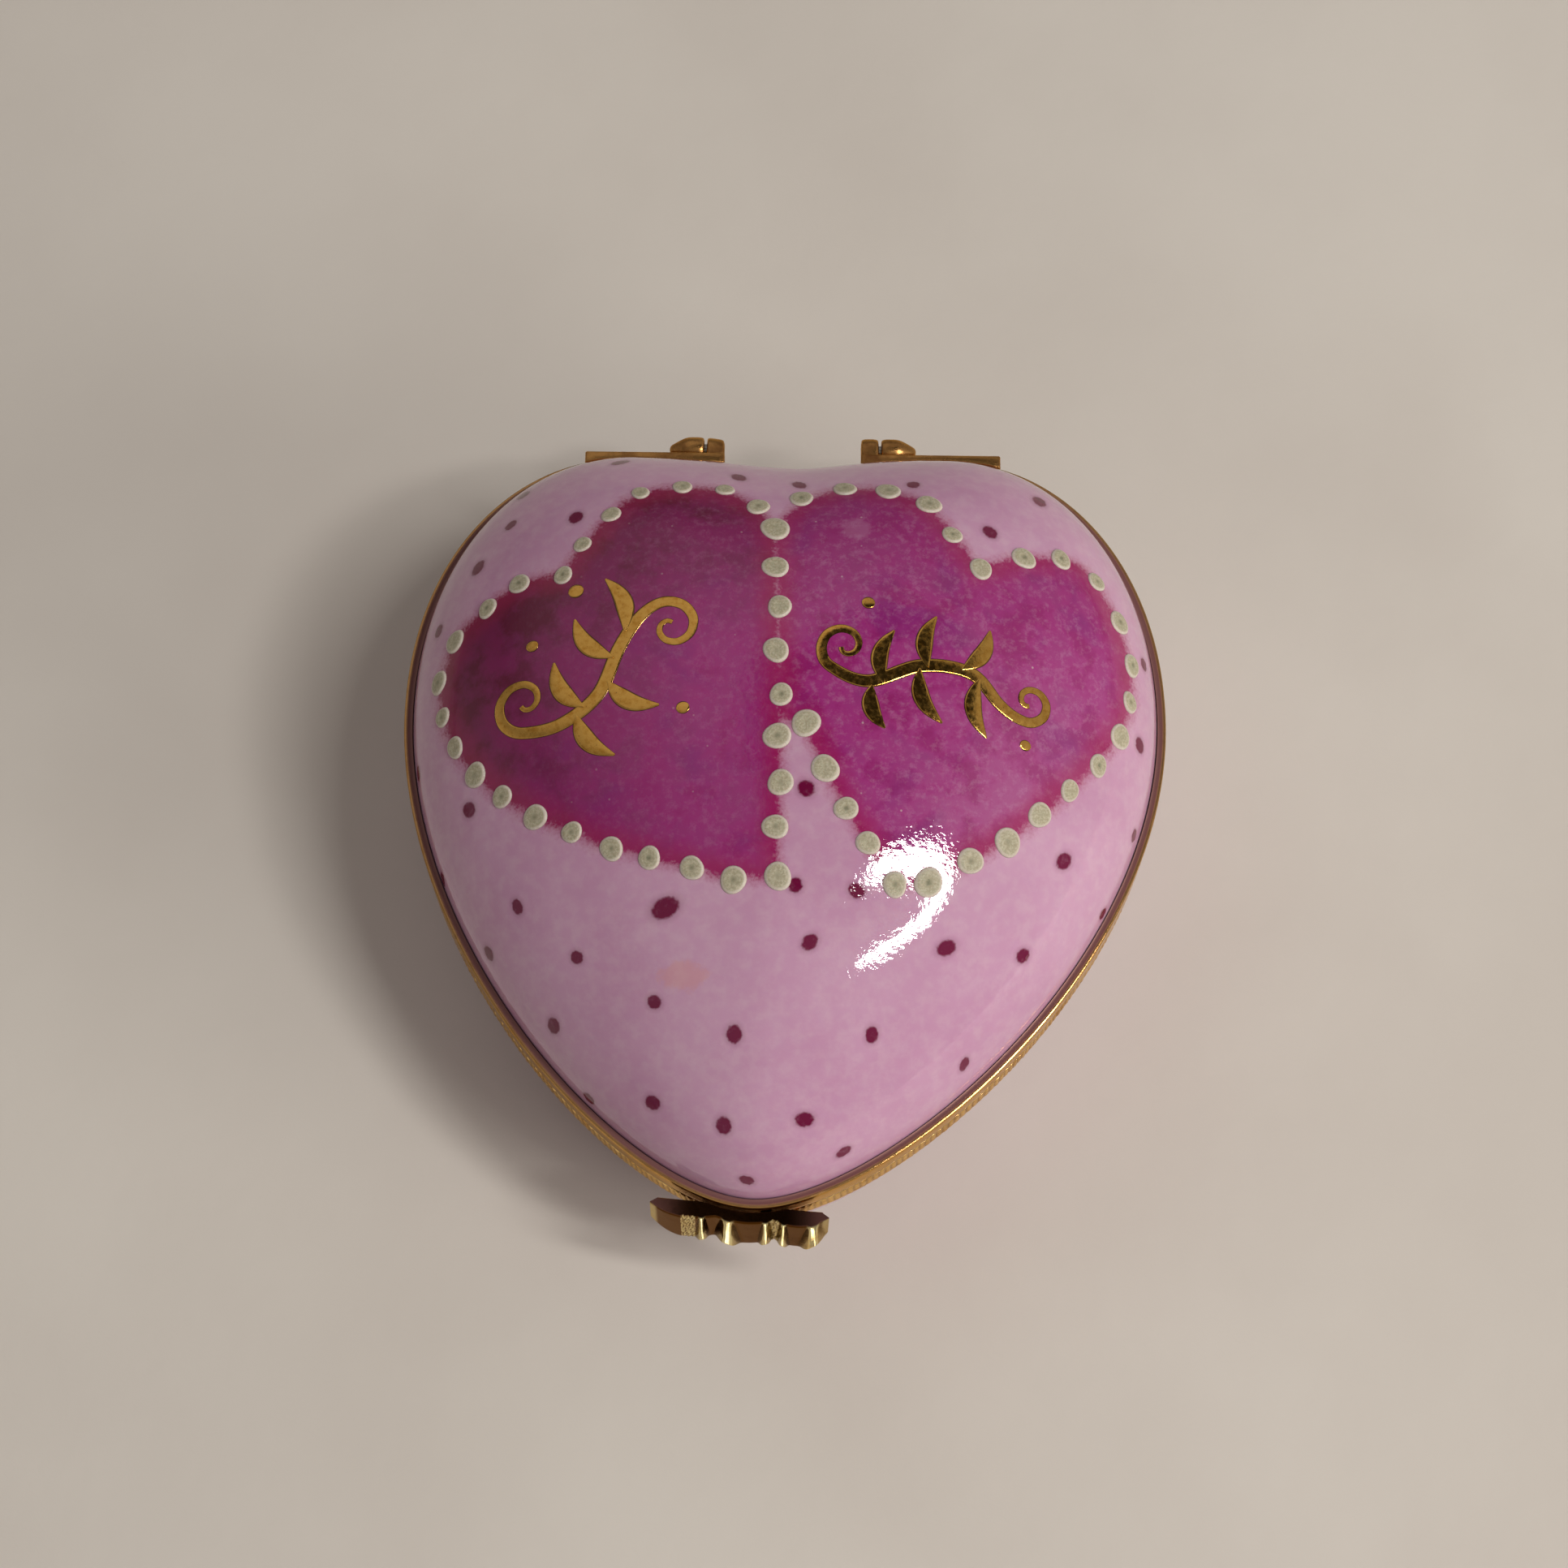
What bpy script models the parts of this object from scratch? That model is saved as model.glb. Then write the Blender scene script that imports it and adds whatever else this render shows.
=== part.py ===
"""Heart-shaped porcelain trinket box with brass bezels, a two-knuckle back hinge and a front clasp.

Frame: origin on the flat resting face, +Z up, tip and clasp towards -Y, hinge towards +Y.
Lengths are in millimetres up to mesh creation, where MM turns them into metres.
"""

import math

import bmesh
import bpy
import numpy as np
from mathutils import Matrix, Vector

MM = 0.001

# Heart outline of the porcelain at the parting plane, right half, three cubic arcs
NOTCH_Y = 23.6  # back notch, on the centre line
NOTCH_PULL = 3.2
LOBE_X = 11.2  # rearmost point of a lobe
LOBE_Y = 24.1
RIGHT_LOBE_EXTRA = 0.4  # the right lobe is a little fuller than the left
LOBE_PULL_IN = 6.7
LOBE_PULL_OUT = 7.5
HALF_WIDTH = 25.0
WIDEST_Y = 5.9
WIDEST_PULL_BACK = 11.0
WIDEST_PULL_FRONT = 17.0
TIP_Y = -27.1
TIP_PULL = 8.0
TIP_LEAN = -1.1  # the hand-shaped tip sits off the centre line
LEAN_START_Y = 6.0
HEART_TURN = -math.atan(RIGHT_LOBE_EXTRA / (2 * LOBE_X))  # about the notch: both lobes meet the hinge
BACK_Y = LOBE_Y + RIGHT_LOBE_EXTRA / 2  # rearmost level of the turned heart
OUTLINE_POINTS = 72

# Levels
PARTING_Z = 13.0
PARTING_GAP = 0.06  # each bezel stands this far from the parting plane
BEZEL_HEIGHT = 1.95
BEZEL_OUT = 0.42  # bezel's outer face, outside the porcelain outline
FLANGE_THICK = 0.5
FLANGE_IN = 2.1
EDGE_CHAMFER = 0.12
SEAT_GAP = 0.04  # between neighbours that are cemented, soldered or seated
CEMENT_THICK = 0.3

# Porcelain
WALL = 2.2
DOME_START = 1.35  # straight side above the parting plane
DOME_HEIGHT = 12.55
DOME_CENTRE_Y = 3.9
DOME_POWER_IN = 2.45
DOME_POWER_UP = 1.9
FOOT_SCALE = 0.80
FOOT_POWER = 2.6
RING_STEPS = 10

# Hinge: the axis runs along X behind the lobes, at the parting plane
STRIP_BACK_Y = BACK_Y + 1.0
STRIP_INNER_X = 4.7
STRIP_OUTER_X = 14.3
STRIP_SHY = 0.1  # each strip is this much lower than its bezel
STRIP_POINTS = 12
AXIS_Y = STRIP_BACK_Y + 1.02
KNUCKLE_RADIUS = 0.95
KNUCKLE_LENGTH = 1.3
KNUCKLE_GAP = 0.1
LEFT_KNUCKLE_TAPER = 0.8  # inboard end of the left lid knuckle, as a share of its radius
BORE_RADIUS = 0.50
BORE_OVERRUN = 1.0
BORE_PAST_KNUCKLE = 0.1  # how far the bore runs on into the closed taper
PIN_RADIUS = 0.45
PIN_INSET = 0.1
FOOT_SHY = 0.05  # a knuckle's foot stops this far inside its round
HEEL_BACK = 0.92  # squared lower corner of a lid knuckle, which stops the lid just past 100 degrees
HEEL_DOWN = 0.85
HEEL_INSET = 0.05
TAPER_LENGTH = 1.2
TAPER_END = 0.35  # small end of the taper, as a share of the knuckle's radius
TAPER_FOOT = 0.5  # share of the taper that the foot runs under
TAPER_OVERLAP = 0.02
ROUND_SIDES = 24

# Clasp ornament: a scalloped plate that hangs from the lid bezel in front of the base bezel
CLASP_X = -2.9
CLASP_Y = -27.97
CLASP_TILT = math.radians(-4.6)
CLASP_HALF_WIDTH = 5.7
CLASP_BACK_SHARE = 0.92  # width of the plate's back, as a share of its front
CLASP_DEPTH = 0.9
CLASP_TOP = PARTING_Z + 1.2
CLASP_DROP = 4.4
CLASP_LOBES = (-5.7, -1.5, 2.2, 5.7)
LOBE_BULGE = 0.26
LOBE_DROP = 0.6
LOBE_STEPS = 6
END_SETBACK = 0.5
END_RISE = 1.5  # how much shorter the plate is at its two ends
CLASP_FLARE = 0.3
CLASP_CLEARANCE = 0.08
SOLDER_SEAT = (3.2, 1.05, 1.1)  # width, depth and height of the block that joins the plate to the lid bezel
SEAT_FORWARD = 0.5  # how far the block stands out from the lid bezel
SEAT_UP = 0.6  # height of the block's underside above the parting plane
GROOVE_MARGIN = 0.15
GROOVE_DEPTH = 0.42
GROOVE_ABOVE_BEAD = 0.6
BEAD_RADIUS = 0.42
BEAD_SQUASH = 0.62
BEAD_Z = PARTING_Z - 1.0

COLOURS = {
    "glazed_porcelain": ((0.60, 0.30, 0.48), 0.08, 0.0),
    "brass": ((0.62, 0.42, 0.13), 0.25, 1.0),
    "cement": ((0.78, 0.75, 0.68), 0.9, 0.0),
    "steel": ((0.55, 0.54, 0.52), 0.3, 1.0),
}


# Scene set-up

def clear_scene():
    for obj in list(bpy.data.objects):
        bpy.data.objects.remove(obj, do_unlink=True)


def make_collection(name):
    collection = bpy.data.collections.new(name)
    bpy.context.scene.collection.children.link(collection)
    return collection


def make_material(node_name, finish):
    colour, roughness, metallic = COLOURS[finish]
    material = bpy.data.materials.new(node_name)
    material.use_nodes = True
    shader = material.node_tree.nodes["Principled BSDF"]
    shader.inputs["Base Color"].default_value = (*colour, 1.0)
    shader.inputs["Roughness"].default_value = roughness
    shader.inputs["Metallic"].default_value = metallic
    return material


def make_object(name, bm, collection, smooth=True):
    bmesh.ops.scale(bm, vec=(MM, MM, MM), verts=bm.verts)
    mesh = bpy.data.meshes.new(name)
    bm.to_mesh(mesh)
    bm.free()
    if smooth:
        mesh.shade_smooth()
        mesh.set_sharp_from_angle(angle=math.radians(35.0))
    obj = bpy.data.objects.new(name, mesh)
    collection.objects.link(obj)
    return obj


def finish_part(obj, finish):
    obj.data.materials.append(make_material(obj.name, finish))


def set_origin(obj, point_mm):
    """Moves the object's origin to a point, leaving its shape where it is."""
    point = Vector(point_mm) * MM
    obj.data.transform(Matrix.Translation(-point))
    obj.location = point


# Heart outline

def cubic_arc(p0, p1, p2, p3, count=60):
    t = np.linspace(0.0, 1.0, count)[:, None]
    p0, p1, p2, p3 = (np.array(p, dtype=float) for p in (p0, p1, p2, p3))
    return (1 - t) ** 3 * p0 + 3 * (1 - t) ** 2 * t * p1 + 3 * (1 - t) * t**2 * p2 + t**3 * p3


def half_outline(lobe_y):
    """One half of the heart, from the notch round the lobe to the tip, drawn on the right."""
    notch = (0.0, NOTCH_Y)
    lobe = (LOBE_X, lobe_y)
    widest = (HALF_WIDTH, WIDEST_Y)
    tip = (0.0, TIP_Y)
    back = cubic_arc(notch, (NOTCH_PULL, NOTCH_Y), (LOBE_X - LOBE_PULL_IN, lobe_y), lobe)
    side_pull = (HALF_WIDTH, WIDEST_Y + WIDEST_PULL_BACK)
    side = cubic_arc(lobe, (LOBE_X + LOBE_PULL_OUT, lobe_y), side_pull, widest)
    front_pull = (HALF_WIDTH, WIDEST_Y - WIDEST_PULL_FRONT)
    front = cubic_arc(widest, front_pull, (TIP_PULL, TIP_Y), tip)
    return np.vstack([back[:-1], side[:-1], front])


def turn_heart(points):
    """Plan points turned about the notch from the heart's own axes to the box's axes."""
    notch = np.array([0.0, NOTCH_Y])
    cosine, sine = math.cos(HEART_TURN), math.sin(HEART_TURN)
    return notch + (points - notch) @ np.array([[cosine, sine], [-sine, cosine]])


def heart_outline():
    """Evenly spaced points round the heart, anticlockwise from the notch, and their outward normals."""
    left = half_outline(LOBE_Y) * (-1.0, 1.0)
    right = half_outline(LOBE_Y + RIGHT_LOBE_EXTRA)
    closed = np.vstack([left, right[::-1][1:]])
    lean = np.clip((LEAN_START_Y - closed[:, 1]) / (LEAN_START_Y - TIP_Y), 0.0, 1.0) ** 2
    closed[:, 0] += TIP_LEAN * lean
    closed = turn_heart(closed)
    steps = np.hypot(*np.diff(closed, axis=0).T)
    length = np.concatenate([[0.0], np.cumsum(steps)])
    wanted = np.linspace(0.0, length[-1], OUTLINE_POINTS, endpoint=False)
    points = np.column_stack([np.interp(wanted, length, closed[:, k]) for k in (0, 1)])
    along = np.roll(points, -1, axis=0) - np.roll(points, 1, axis=0)
    normals = np.column_stack([along[:, 1], -along[:, 0]])
    normals /= np.hypot(*normals.T)[:, None]
    return points, normals


OUTLINE, NORMALS = heart_outline()
DOME_CENTRE = turn_heart(np.array([0.0, DOME_CENTRE_Y]))


def heart_ring(offset, z, scale=1.0):
    """The outline moved outwards, shrunk towards the dome's centre and set at a height."""
    flat = DOME_CENTRE + (OUTLINE + NORMALS * offset - DOME_CENTRE) * scale
    return np.column_stack([flat, np.full(len(flat), z)])


def heart_plan(offset):
    """The outline moved outwards, as plan points."""
    return [(x, y) for x, y in OUTLINE + NORMALS * offset]


# Solids

def loft(rings, start_point=None, end_point=None, closed=False):
    """Joins rings of equal count; a start or end point closes that end, or the last ring meets the first."""
    bm = bmesh.new()
    loops = [[bm.verts.new(point) for point in ring] for ring in rings]
    count = len(loops[0])
    pairs = list(zip(loops, loops[1:]))
    if closed:
        pairs.append((loops[-1], loops[0]))
    for lower, upper in pairs:
        for i in range(count):
            j = (i + 1) % count
            bm.faces.new((lower[i], lower[j], upper[j], upper[i]))
    if start_point is not None:
        hub = bm.verts.new(start_point)
        for i in range(count):
            bm.faces.new((hub, loops[0][(i + 1) % count], loops[0][i]))
    if end_point is not None:
        hub = bm.verts.new(end_point)
        for i in range(count):
            bm.faces.new((hub, loops[-1][i], loops[-1][(i + 1) % count]))
    return bm


def prism(outline, z_low, z_high):
    """A flat outline, anticlockwise from above, raised between two levels."""
    bm = bmesh.new()
    face = bm.faces.new([bm.verts.new((x, y, z_low)) for x, y in outline])
    raised = bmesh.ops.extrude_face_region(bm, geom=[face])
    top = [item for item in raised["geom"] if isinstance(item, bmesh.types.BMVert)]
    bmesh.ops.translate(bm, vec=(0.0, 0.0, z_high - z_low), verts=top)
    bmesh.ops.recalc_face_normals(bm, faces=bm.faces)
    return bm


def box(low, high):
    bm = bmesh.new()
    size = [b - a for a, b in zip(low, high)]
    middle = [(a + b) / 2 for a, b in zip(low, high)]
    bmesh.ops.create_cube(bm, size=1.0, matrix=Matrix.Translation(middle) @ Matrix.Diagonal((*size, 1.0)))
    return bm


def rod(x_start, x_end, radius_start, radius_end=None):
    """A round bar or cone on the hinge axis."""
    radius_end = radius_start if radius_end is None else radius_end
    bm = bmesh.new()
    place = Matrix.Translation(((x_start + x_end) / 2, AXIS_Y, PARTING_Z))
    turn = Matrix.Rotation(math.radians(90.0), 4, "Y")
    bmesh.ops.create_cone(
        bm,
        cap_ends=True,
        segments=ROUND_SIDES,
        radius1=radius_start,
        radius2=radius_end,
        depth=abs(x_end - x_start),
        matrix=place @ turn,
    )
    return bm


def mirror_x(bm):
    bmesh.ops.scale(bm, vec=(-1.0, 1.0, 1.0), verts=bm.verts)
    bmesh.ops.reverse_faces(bm, faces=bm.faces)
    return bm


def boolean(obj, operation, bm, name, cutters):
    """Adds an exact Boolean of the object with a hidden cutter."""
    cutter = make_object(name, bm, cutters, smooth=False)
    cutter.hide_render = True
    cutter.display_type = "WIRE"
    modifier = obj.modifiers.new(name, "BOOLEAN")
    modifier.operation = operation
    modifier.solver = "EXACT"
    modifier.object = cutter


def round_edges(obj, width, segments=2, angle=50.0):
    bevel = obj.modifiers.new("rounded_edges", "BEVEL")
    bevel.width = width * MM
    bevel.segments = segments
    bevel.limit_method = "ANGLE"
    bevel.angle_limit = math.radians(angle)


def make_shell(name, bm, collection):
    """An open surface thickened inwards by the porcelain wall."""
    obj = make_object(name, bm, collection)
    solidify = obj.modifiers.new("wall", "SOLIDIFY")
    solidify.thickness = WALL * MM
    solidify.offset = -1.0
    solidify.use_even_offset = True
    finish_part(obj, "glazed_porcelain")
    return obj


# Porcelain

def build_lid(parts):
    rim = PARTING_Z + PARTING_GAP + FLANGE_THICK + CEMENT_THICK + 2 * SEAT_GAP
    start = PARTING_Z + DOME_START
    rings = [heart_ring(0.0, rim), heart_ring(0.0, start)]
    for step in range(1, RING_STEPS):
        turn = 0.5 * math.pi * step / RING_STEPS
        scale = math.cos(turn) ** (2.0 / DOME_POWER_IN)
        rise = math.sin(turn) ** (2.0 / DOME_POWER_UP)
        rings.append(heart_ring(0.0, start + DOME_HEIGHT * rise, scale))
    apex = (*DOME_CENTRE, start + DOME_HEIGHT)
    make_shell("porcelain_lid", loft(rings, end_point=apex), parts)


def build_base(parts):
    rim = PARTING_Z - PARTING_GAP - FLANGE_THICK - CEMENT_THICK - 2 * SEAT_GAP
    start = PARTING_Z - DOME_START
    rings = []
    for step in range(RING_STEPS):
        turn = 0.5 * math.pi * step / RING_STEPS
        scale = FOOT_SCALE + (1.0 - FOOT_SCALE) * math.sin(turn) ** (2.0 / FOOT_POWER)
        rings.append(heart_ring(0.0, start * (1.0 - math.cos(turn) ** (2.0 / FOOT_POWER)), scale))
    rings += [heart_ring(0.0, start), heart_ring(0.0, rim)]
    make_shell("porcelain_base", loft(rings, start_point=(*DOME_CENTRE, 0.0)), parts)


def build_bezel(name, side, parts):
    """An L-section brass ring: a band round the porcelain and a flange at the parting plane."""
    near = PARTING_Z + side * PARTING_GAP
    flange = near + side * FLANGE_THICK
    far = near + side * (BEZEL_HEIGHT - PARTING_GAP)
    section = [
        (BEZEL_OUT - EDGE_CHAMFER, near),
        (BEZEL_OUT, near + side * EDGE_CHAMFER),
        (BEZEL_OUT, far - side * EDGE_CHAMFER),
        (BEZEL_OUT - EDGE_CHAMFER, far),
        (SEAT_GAP, far),
        (SEAT_GAP, flange),
        (-FLANGE_IN, flange),
        (-FLANGE_IN, near),
    ]
    if side < 0:
        section.reverse()
    obj = make_object(name, loft([heart_ring(*corner) for corner in section], closed=True), parts)
    finish_part(obj, "brass")


def build_cement(name, side, parts):
    near = PARTING_Z + side * (PARTING_GAP + FLANGE_THICK + SEAT_GAP)
    far = near + side * CEMENT_THICK
    section = [(0.0, near), (0.0, far), (-FLANGE_IN, far), (-FLANGE_IN, near)]
    if side < 0:
        section.reverse()
    obj = make_object(name, loft([heart_ring(*corner) for corner in section], closed=True), parts)
    finish_part(obj, "cement")


# Hinge

def strip_outline(hand):
    """Plan of a hinge strip, drawn on the right: its front follows the bezel, its back is straight."""
    ring = np.array(heart_plan(BEZEL_OUT + SEAT_GAP)) * (hand, 1.0)
    xs = np.linspace(STRIP_INNER_X, STRIP_OUTER_X, STRIP_POINTS)
    back_run = ring[(ring[:, 1] > WIDEST_Y) & (ring[:, 0] > 0.0)]
    back_run = back_run[np.argsort(back_run[:, 0])]
    front = [(x, np.interp(x, back_run[:, 0], back_run[:, 1]) + SEAT_GAP) for x in xs]
    return front + [(STRIP_OUTER_X, STRIP_BACK_Y), (STRIP_INNER_X, STRIP_BACK_Y)]


def place_side(bm, hand):
    return mirror_x(bm) if hand < 0 else bm


def build_strip(name, side, hand, parts):
    near = PARTING_Z + side * PARTING_GAP
    far = PARTING_Z + side * (BEZEL_HEIGHT - STRIP_SHY)
    bm = prism(strip_outline(hand), min(near, far), max(near, far))
    obj = make_object(name, place_side(bm, hand), parts)
    round_edges(obj, 0.1)
    finish_part(obj, "brass")


def hinge_axis_point(x):
    return (x, AXIS_Y, PARTING_Z)


def build_lid_knuckle(name, hand, parts, cutters):
    """Inboard knuckle with its foot to the lid strip and the squared heel that stops the lid."""
    inner = STRIP_INNER_X
    outer = inner + KNUCKLE_LENGTH
    foot_front = STRIP_BACK_Y + SEAT_GAP
    foot = box(
        (inner, foot_front, PARTING_Z + PARTING_GAP),
        (outer, AXIS_Y, PARTING_Z + KNUCKLE_RADIUS - FOOT_SHY),
    )
    heel = box(
        (inner + HEEL_INSET, AXIS_Y, PARTING_Z - HEEL_DOWN),
        (outer - HEEL_INSET, AXIS_Y + HEEL_BACK, PARTING_Z),
    )
    inboard_radius = KNUCKLE_RADIUS if hand > 0 else LEFT_KNUCKLE_TAPER * KNUCKLE_RADIUS
    obj = make_object(name, place_side(rod(inner, outer, inboard_radius, KNUCKLE_RADIUS), hand), parts)
    boolean(obj, "UNION", place_side(foot, hand), name + "_foot", cutters)
    boolean(obj, "UNION", place_side(heel, hand), name + "_heel", cutters)
    bore = place_side(rod(inner - BORE_OVERRUN, outer + BORE_OVERRUN, BORE_RADIUS), hand)
    boolean(obj, "DIFFERENCE", bore, name + "_bore", cutters)
    set_origin(obj, hinge_axis_point(hand * inner))
    finish_part(obj, "brass")


def build_base_knuckle(name, hand, parts, cutters):
    """Outboard knuckle with its foot to the base strip and a tapered outer end."""
    inner = STRIP_INNER_X + KNUCKLE_LENGTH + KNUCKLE_GAP
    outer = inner + KNUCKLE_LENGTH
    foot_front = STRIP_BACK_Y + SEAT_GAP
    foot = box(
        (inner, foot_front, PARTING_Z - KNUCKLE_RADIUS + FOOT_SHY),
        (outer + TAPER_FOOT * TAPER_LENGTH, AXIS_Y, PARTING_Z - PARTING_GAP),
    )
    taper = rod(outer - TAPER_OVERLAP, outer + TAPER_LENGTH, KNUCKLE_RADIUS, TAPER_END * KNUCKLE_RADIUS)
    obj = make_object(name, place_side(rod(inner, outer, KNUCKLE_RADIUS), hand), parts)
    boolean(obj, "UNION", place_side(foot, hand), name + "_foot", cutters)
    boolean(obj, "UNION", place_side(taper, hand), name + "_taper", cutters)
    bore = place_side(rod(inner - BORE_OVERRUN, outer + BORE_PAST_KNUCKLE, BORE_RADIUS), hand)
    boolean(obj, "DIFFERENCE", bore, name + "_bore", cutters)
    set_origin(obj, hinge_axis_point(hand * inner))
    finish_part(obj, "brass")


def build_pin(name, hand, parts):
    start = STRIP_INNER_X + PIN_INSET
    end = STRIP_INNER_X + 2 * KNUCKLE_LENGTH + KNUCKLE_GAP
    obj = make_object(name, place_side(rod(start, end, PIN_RADIUS), hand), parts)
    set_origin(obj, hinge_axis_point(hand * start))
    finish_part(obj, "steel")


# Clasp

def clasp_lobe_curve(height):
    """Points (u, height) along three shallow arcs, one for each lobe of the ornament."""
    points = []
    for left, right in zip(CLASP_LOBES, CLASP_LOBES[1:]):
        for share in np.linspace(0.0, 1.0, LOBE_STEPS, endpoint=False):
            points.append((left + (right - left) * share, height * math.sin(math.pi * share)))
    points.append((CLASP_LOBES[-1], 0.0))
    return points


def clasp_section(forward, z):
    """Plan of the ornament at one level, anticlockwise: scalloped front, then the straight back."""
    front = []
    for u, bulge in clasp_lobe_curve(LOBE_BULGE):
        setback = END_SETBACK * (abs(u) / CLASP_HALF_WIDTH) ** 5
        front.append((u, -(bulge - setback + forward), z))
    side = CLASP_BACK_SHARE * CLASP_HALF_WIDTH
    return front + [(side, CLASP_DEPTH, z), (-side, CLASP_DEPTH, z)]


def clasp_elevation():
    """Front outline of the ornament: flat top and three drop-shaped lobes below."""
    top = CLASP_TOP + 1.0
    low = [(u, CLASP_TOP - CLASP_DROP - drop) for u, drop in clasp_lobe_curve(LOBE_DROP)]
    low = [(u, z + END_RISE * (abs(u) / CLASP_HALF_WIDTH) ** 6) for u, z in low]
    wide = CLASP_HALF_WIDTH + 0.5
    return [(-wide, low[0][1])] + low + [(wide, low[-1][1]), (wide, top), (-wide, top)]


def turn_to_clasp(bm):
    place = Matrix.Translation((CLASP_X, CLASP_Y, 0.0)) @ Matrix.Rotation(CLASP_TILT, 4, "Z")
    bmesh.ops.transform(bm, matrix=place, verts=bm.verts)
    return bm


def clasp_body():
    """The plate before cutting, flaring forward towards its lower edge."""
    bottom = clasp_section(CLASP_FLARE, CLASP_TOP - CLASP_DROP - LOBE_DROP - 0.2)
    top = clasp_section(0.0, CLASP_TOP)
    bm = loft([bottom, top])
    bmesh.ops.holes_fill(bm, edges=bm.edges, sides=0)
    bmesh.ops.recalc_face_normals(bm, faces=bm.faces)
    return turn_to_clasp(bm)


def clasp_front_cutter():
    bm = prism(clasp_elevation(), -3.0, 3.0)
    bmesh.ops.transform(bm, matrix=Matrix.Rotation(math.radians(90.0), 4, "X"), verts=bm.verts)
    return turn_to_clasp(bm)


def tip_point():
    return OUTLINE[np.argmin(OUTLINE[:, 1])]


def build_clasp(parts, cutters):
    """Ornament with a soldered seat against the lid bezel and a groove that passes over the bead."""
    tip_x, tip_y = tip_point()
    front = tip_y - BEZEL_OUT
    wide, deep, tall = SOLDER_SEAT
    seat_low = (tip_x - wide / 2, front - SEAT_FORWARD, PARTING_Z + SEAT_UP)
    seat = box(seat_low, (seat_low[0] + wide, seat_low[1] + deep, seat_low[2] + tall))
    half_groove = BEAD_RADIUS + GROOVE_MARGIN
    groove = box(
        (tip_x - half_groove, front - GROOVE_DEPTH, 0.0),
        (tip_x + half_groove, tip_y, BEAD_Z + GROOVE_ABOVE_BEAD),
    )
    hollow = prism(heart_plan(BEZEL_OUT + CLASP_CLEARANCE), 0.0, 2 * PARTING_Z)
    obj = make_object("clasp_ornament", clasp_body(), parts)
    boolean(obj, "INTERSECT", clasp_front_cutter(), "clasp_elevation", cutters)
    boolean(obj, "UNION", seat, "clasp_seat", cutters)
    boolean(obj, "DIFFERENCE", hollow, "clasp_hollow", cutters)
    boolean(obj, "DIFFERENCE", groove, "clasp_groove", cutters)
    finish_part(obj, "brass")


def build_catch_bead(parts, cutters):
    """Small half-round bead on the front of the base bezel, which the clasp snaps over."""
    tip_x, tip_y = tip_point()
    bm = bmesh.new()
    squash = Matrix.Diagonal((1.0, BEAD_SQUASH, 1.0, 1.0))
    place = Matrix.Translation((tip_x, tip_y - BEZEL_OUT, BEAD_Z))
    bmesh.ops.create_uvsphere(bm, u_segments=20, v_segments=12, radius=BEAD_RADIUS, matrix=place @ squash)
    obj = make_object("catch_bead", bm, parts)
    behind = prism(heart_plan(BEZEL_OUT + SEAT_GAP), 0.0, PARTING_Z)
    boolean(obj, "DIFFERENCE", behind, "bead_flat", cutters)
    finish_part(obj, "brass")


def main():
    clear_scene()
    parts = make_collection("heart_trinket_box")
    cutters = make_collection("cutters")
    build_lid(parts)
    build_base(parts)
    build_bezel("lid_bezel", 1, parts)
    build_bezel("base_bezel", -1, parts)
    build_cement("lid_bedding_ring", 1, parts)
    build_cement("base_bedding_ring", -1, parts)
    for hand, word in ((-1, "left"), (1, "right")):
        build_strip("lid_hinge_strip_" + word, 1, hand, parts)
        build_strip("base_hinge_strip_" + word, -1, hand, parts)
        build_lid_knuckle("lid_knuckle_" + word, hand, parts, cutters)
        build_base_knuckle("base_knuckle_" + word, hand, parts, cutters)
        build_pin("hinge_pin_" + word, hand, parts)
    build_clasp(parts, cutters)
    build_catch_bead(parts, cutters)


main()
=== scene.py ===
"""Looks of the heart-shaped trinket box: painted glaze, fired enamel dots, gilding and chased brass.

The heart outline, the dome and the levels repeat the design's dimensions, in millimetres; MM makes metres.
Heights inside the functions count from the parting plane, which the frame gives.
"""

import math

import bmesh
import bpy
import numpy as np
from mathutils import Matrix, Vector


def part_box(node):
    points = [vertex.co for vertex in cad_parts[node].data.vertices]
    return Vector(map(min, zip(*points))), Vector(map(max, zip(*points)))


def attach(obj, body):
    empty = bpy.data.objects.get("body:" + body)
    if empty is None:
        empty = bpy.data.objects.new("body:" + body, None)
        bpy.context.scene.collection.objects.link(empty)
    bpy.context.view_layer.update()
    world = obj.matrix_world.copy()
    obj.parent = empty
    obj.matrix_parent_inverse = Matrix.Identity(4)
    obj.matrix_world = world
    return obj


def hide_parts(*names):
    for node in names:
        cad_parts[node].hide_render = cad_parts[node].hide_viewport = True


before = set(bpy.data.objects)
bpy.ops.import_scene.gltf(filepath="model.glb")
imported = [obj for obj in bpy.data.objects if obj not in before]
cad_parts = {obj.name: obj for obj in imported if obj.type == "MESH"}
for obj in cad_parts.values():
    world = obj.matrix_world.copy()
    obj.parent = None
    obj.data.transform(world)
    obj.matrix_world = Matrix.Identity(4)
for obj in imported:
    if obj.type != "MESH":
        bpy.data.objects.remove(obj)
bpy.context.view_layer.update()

MM = 0.001
SEED = 11

# Levels and bands, taken from the frame
LID_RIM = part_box("porcelain_lid")[0].z / MM
LID_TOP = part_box("porcelain_lid")[1].z / MM
BASE_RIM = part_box("porcelain_base")[1].z / MM
LID_BAND = (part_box("lid_bezel")[0].z / MM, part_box("lid_bezel")[1].z / MM)
BASE_BAND = (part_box("base_bezel")[0].z / MM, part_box("base_bezel")[1].z / MM)
PARTING_Z = (LID_BAND[0] + BASE_BAND[1]) / 2
BEZEL_OUT = (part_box("lid_bezel")[1].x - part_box("porcelain_lid")[1].x) / MM

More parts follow.
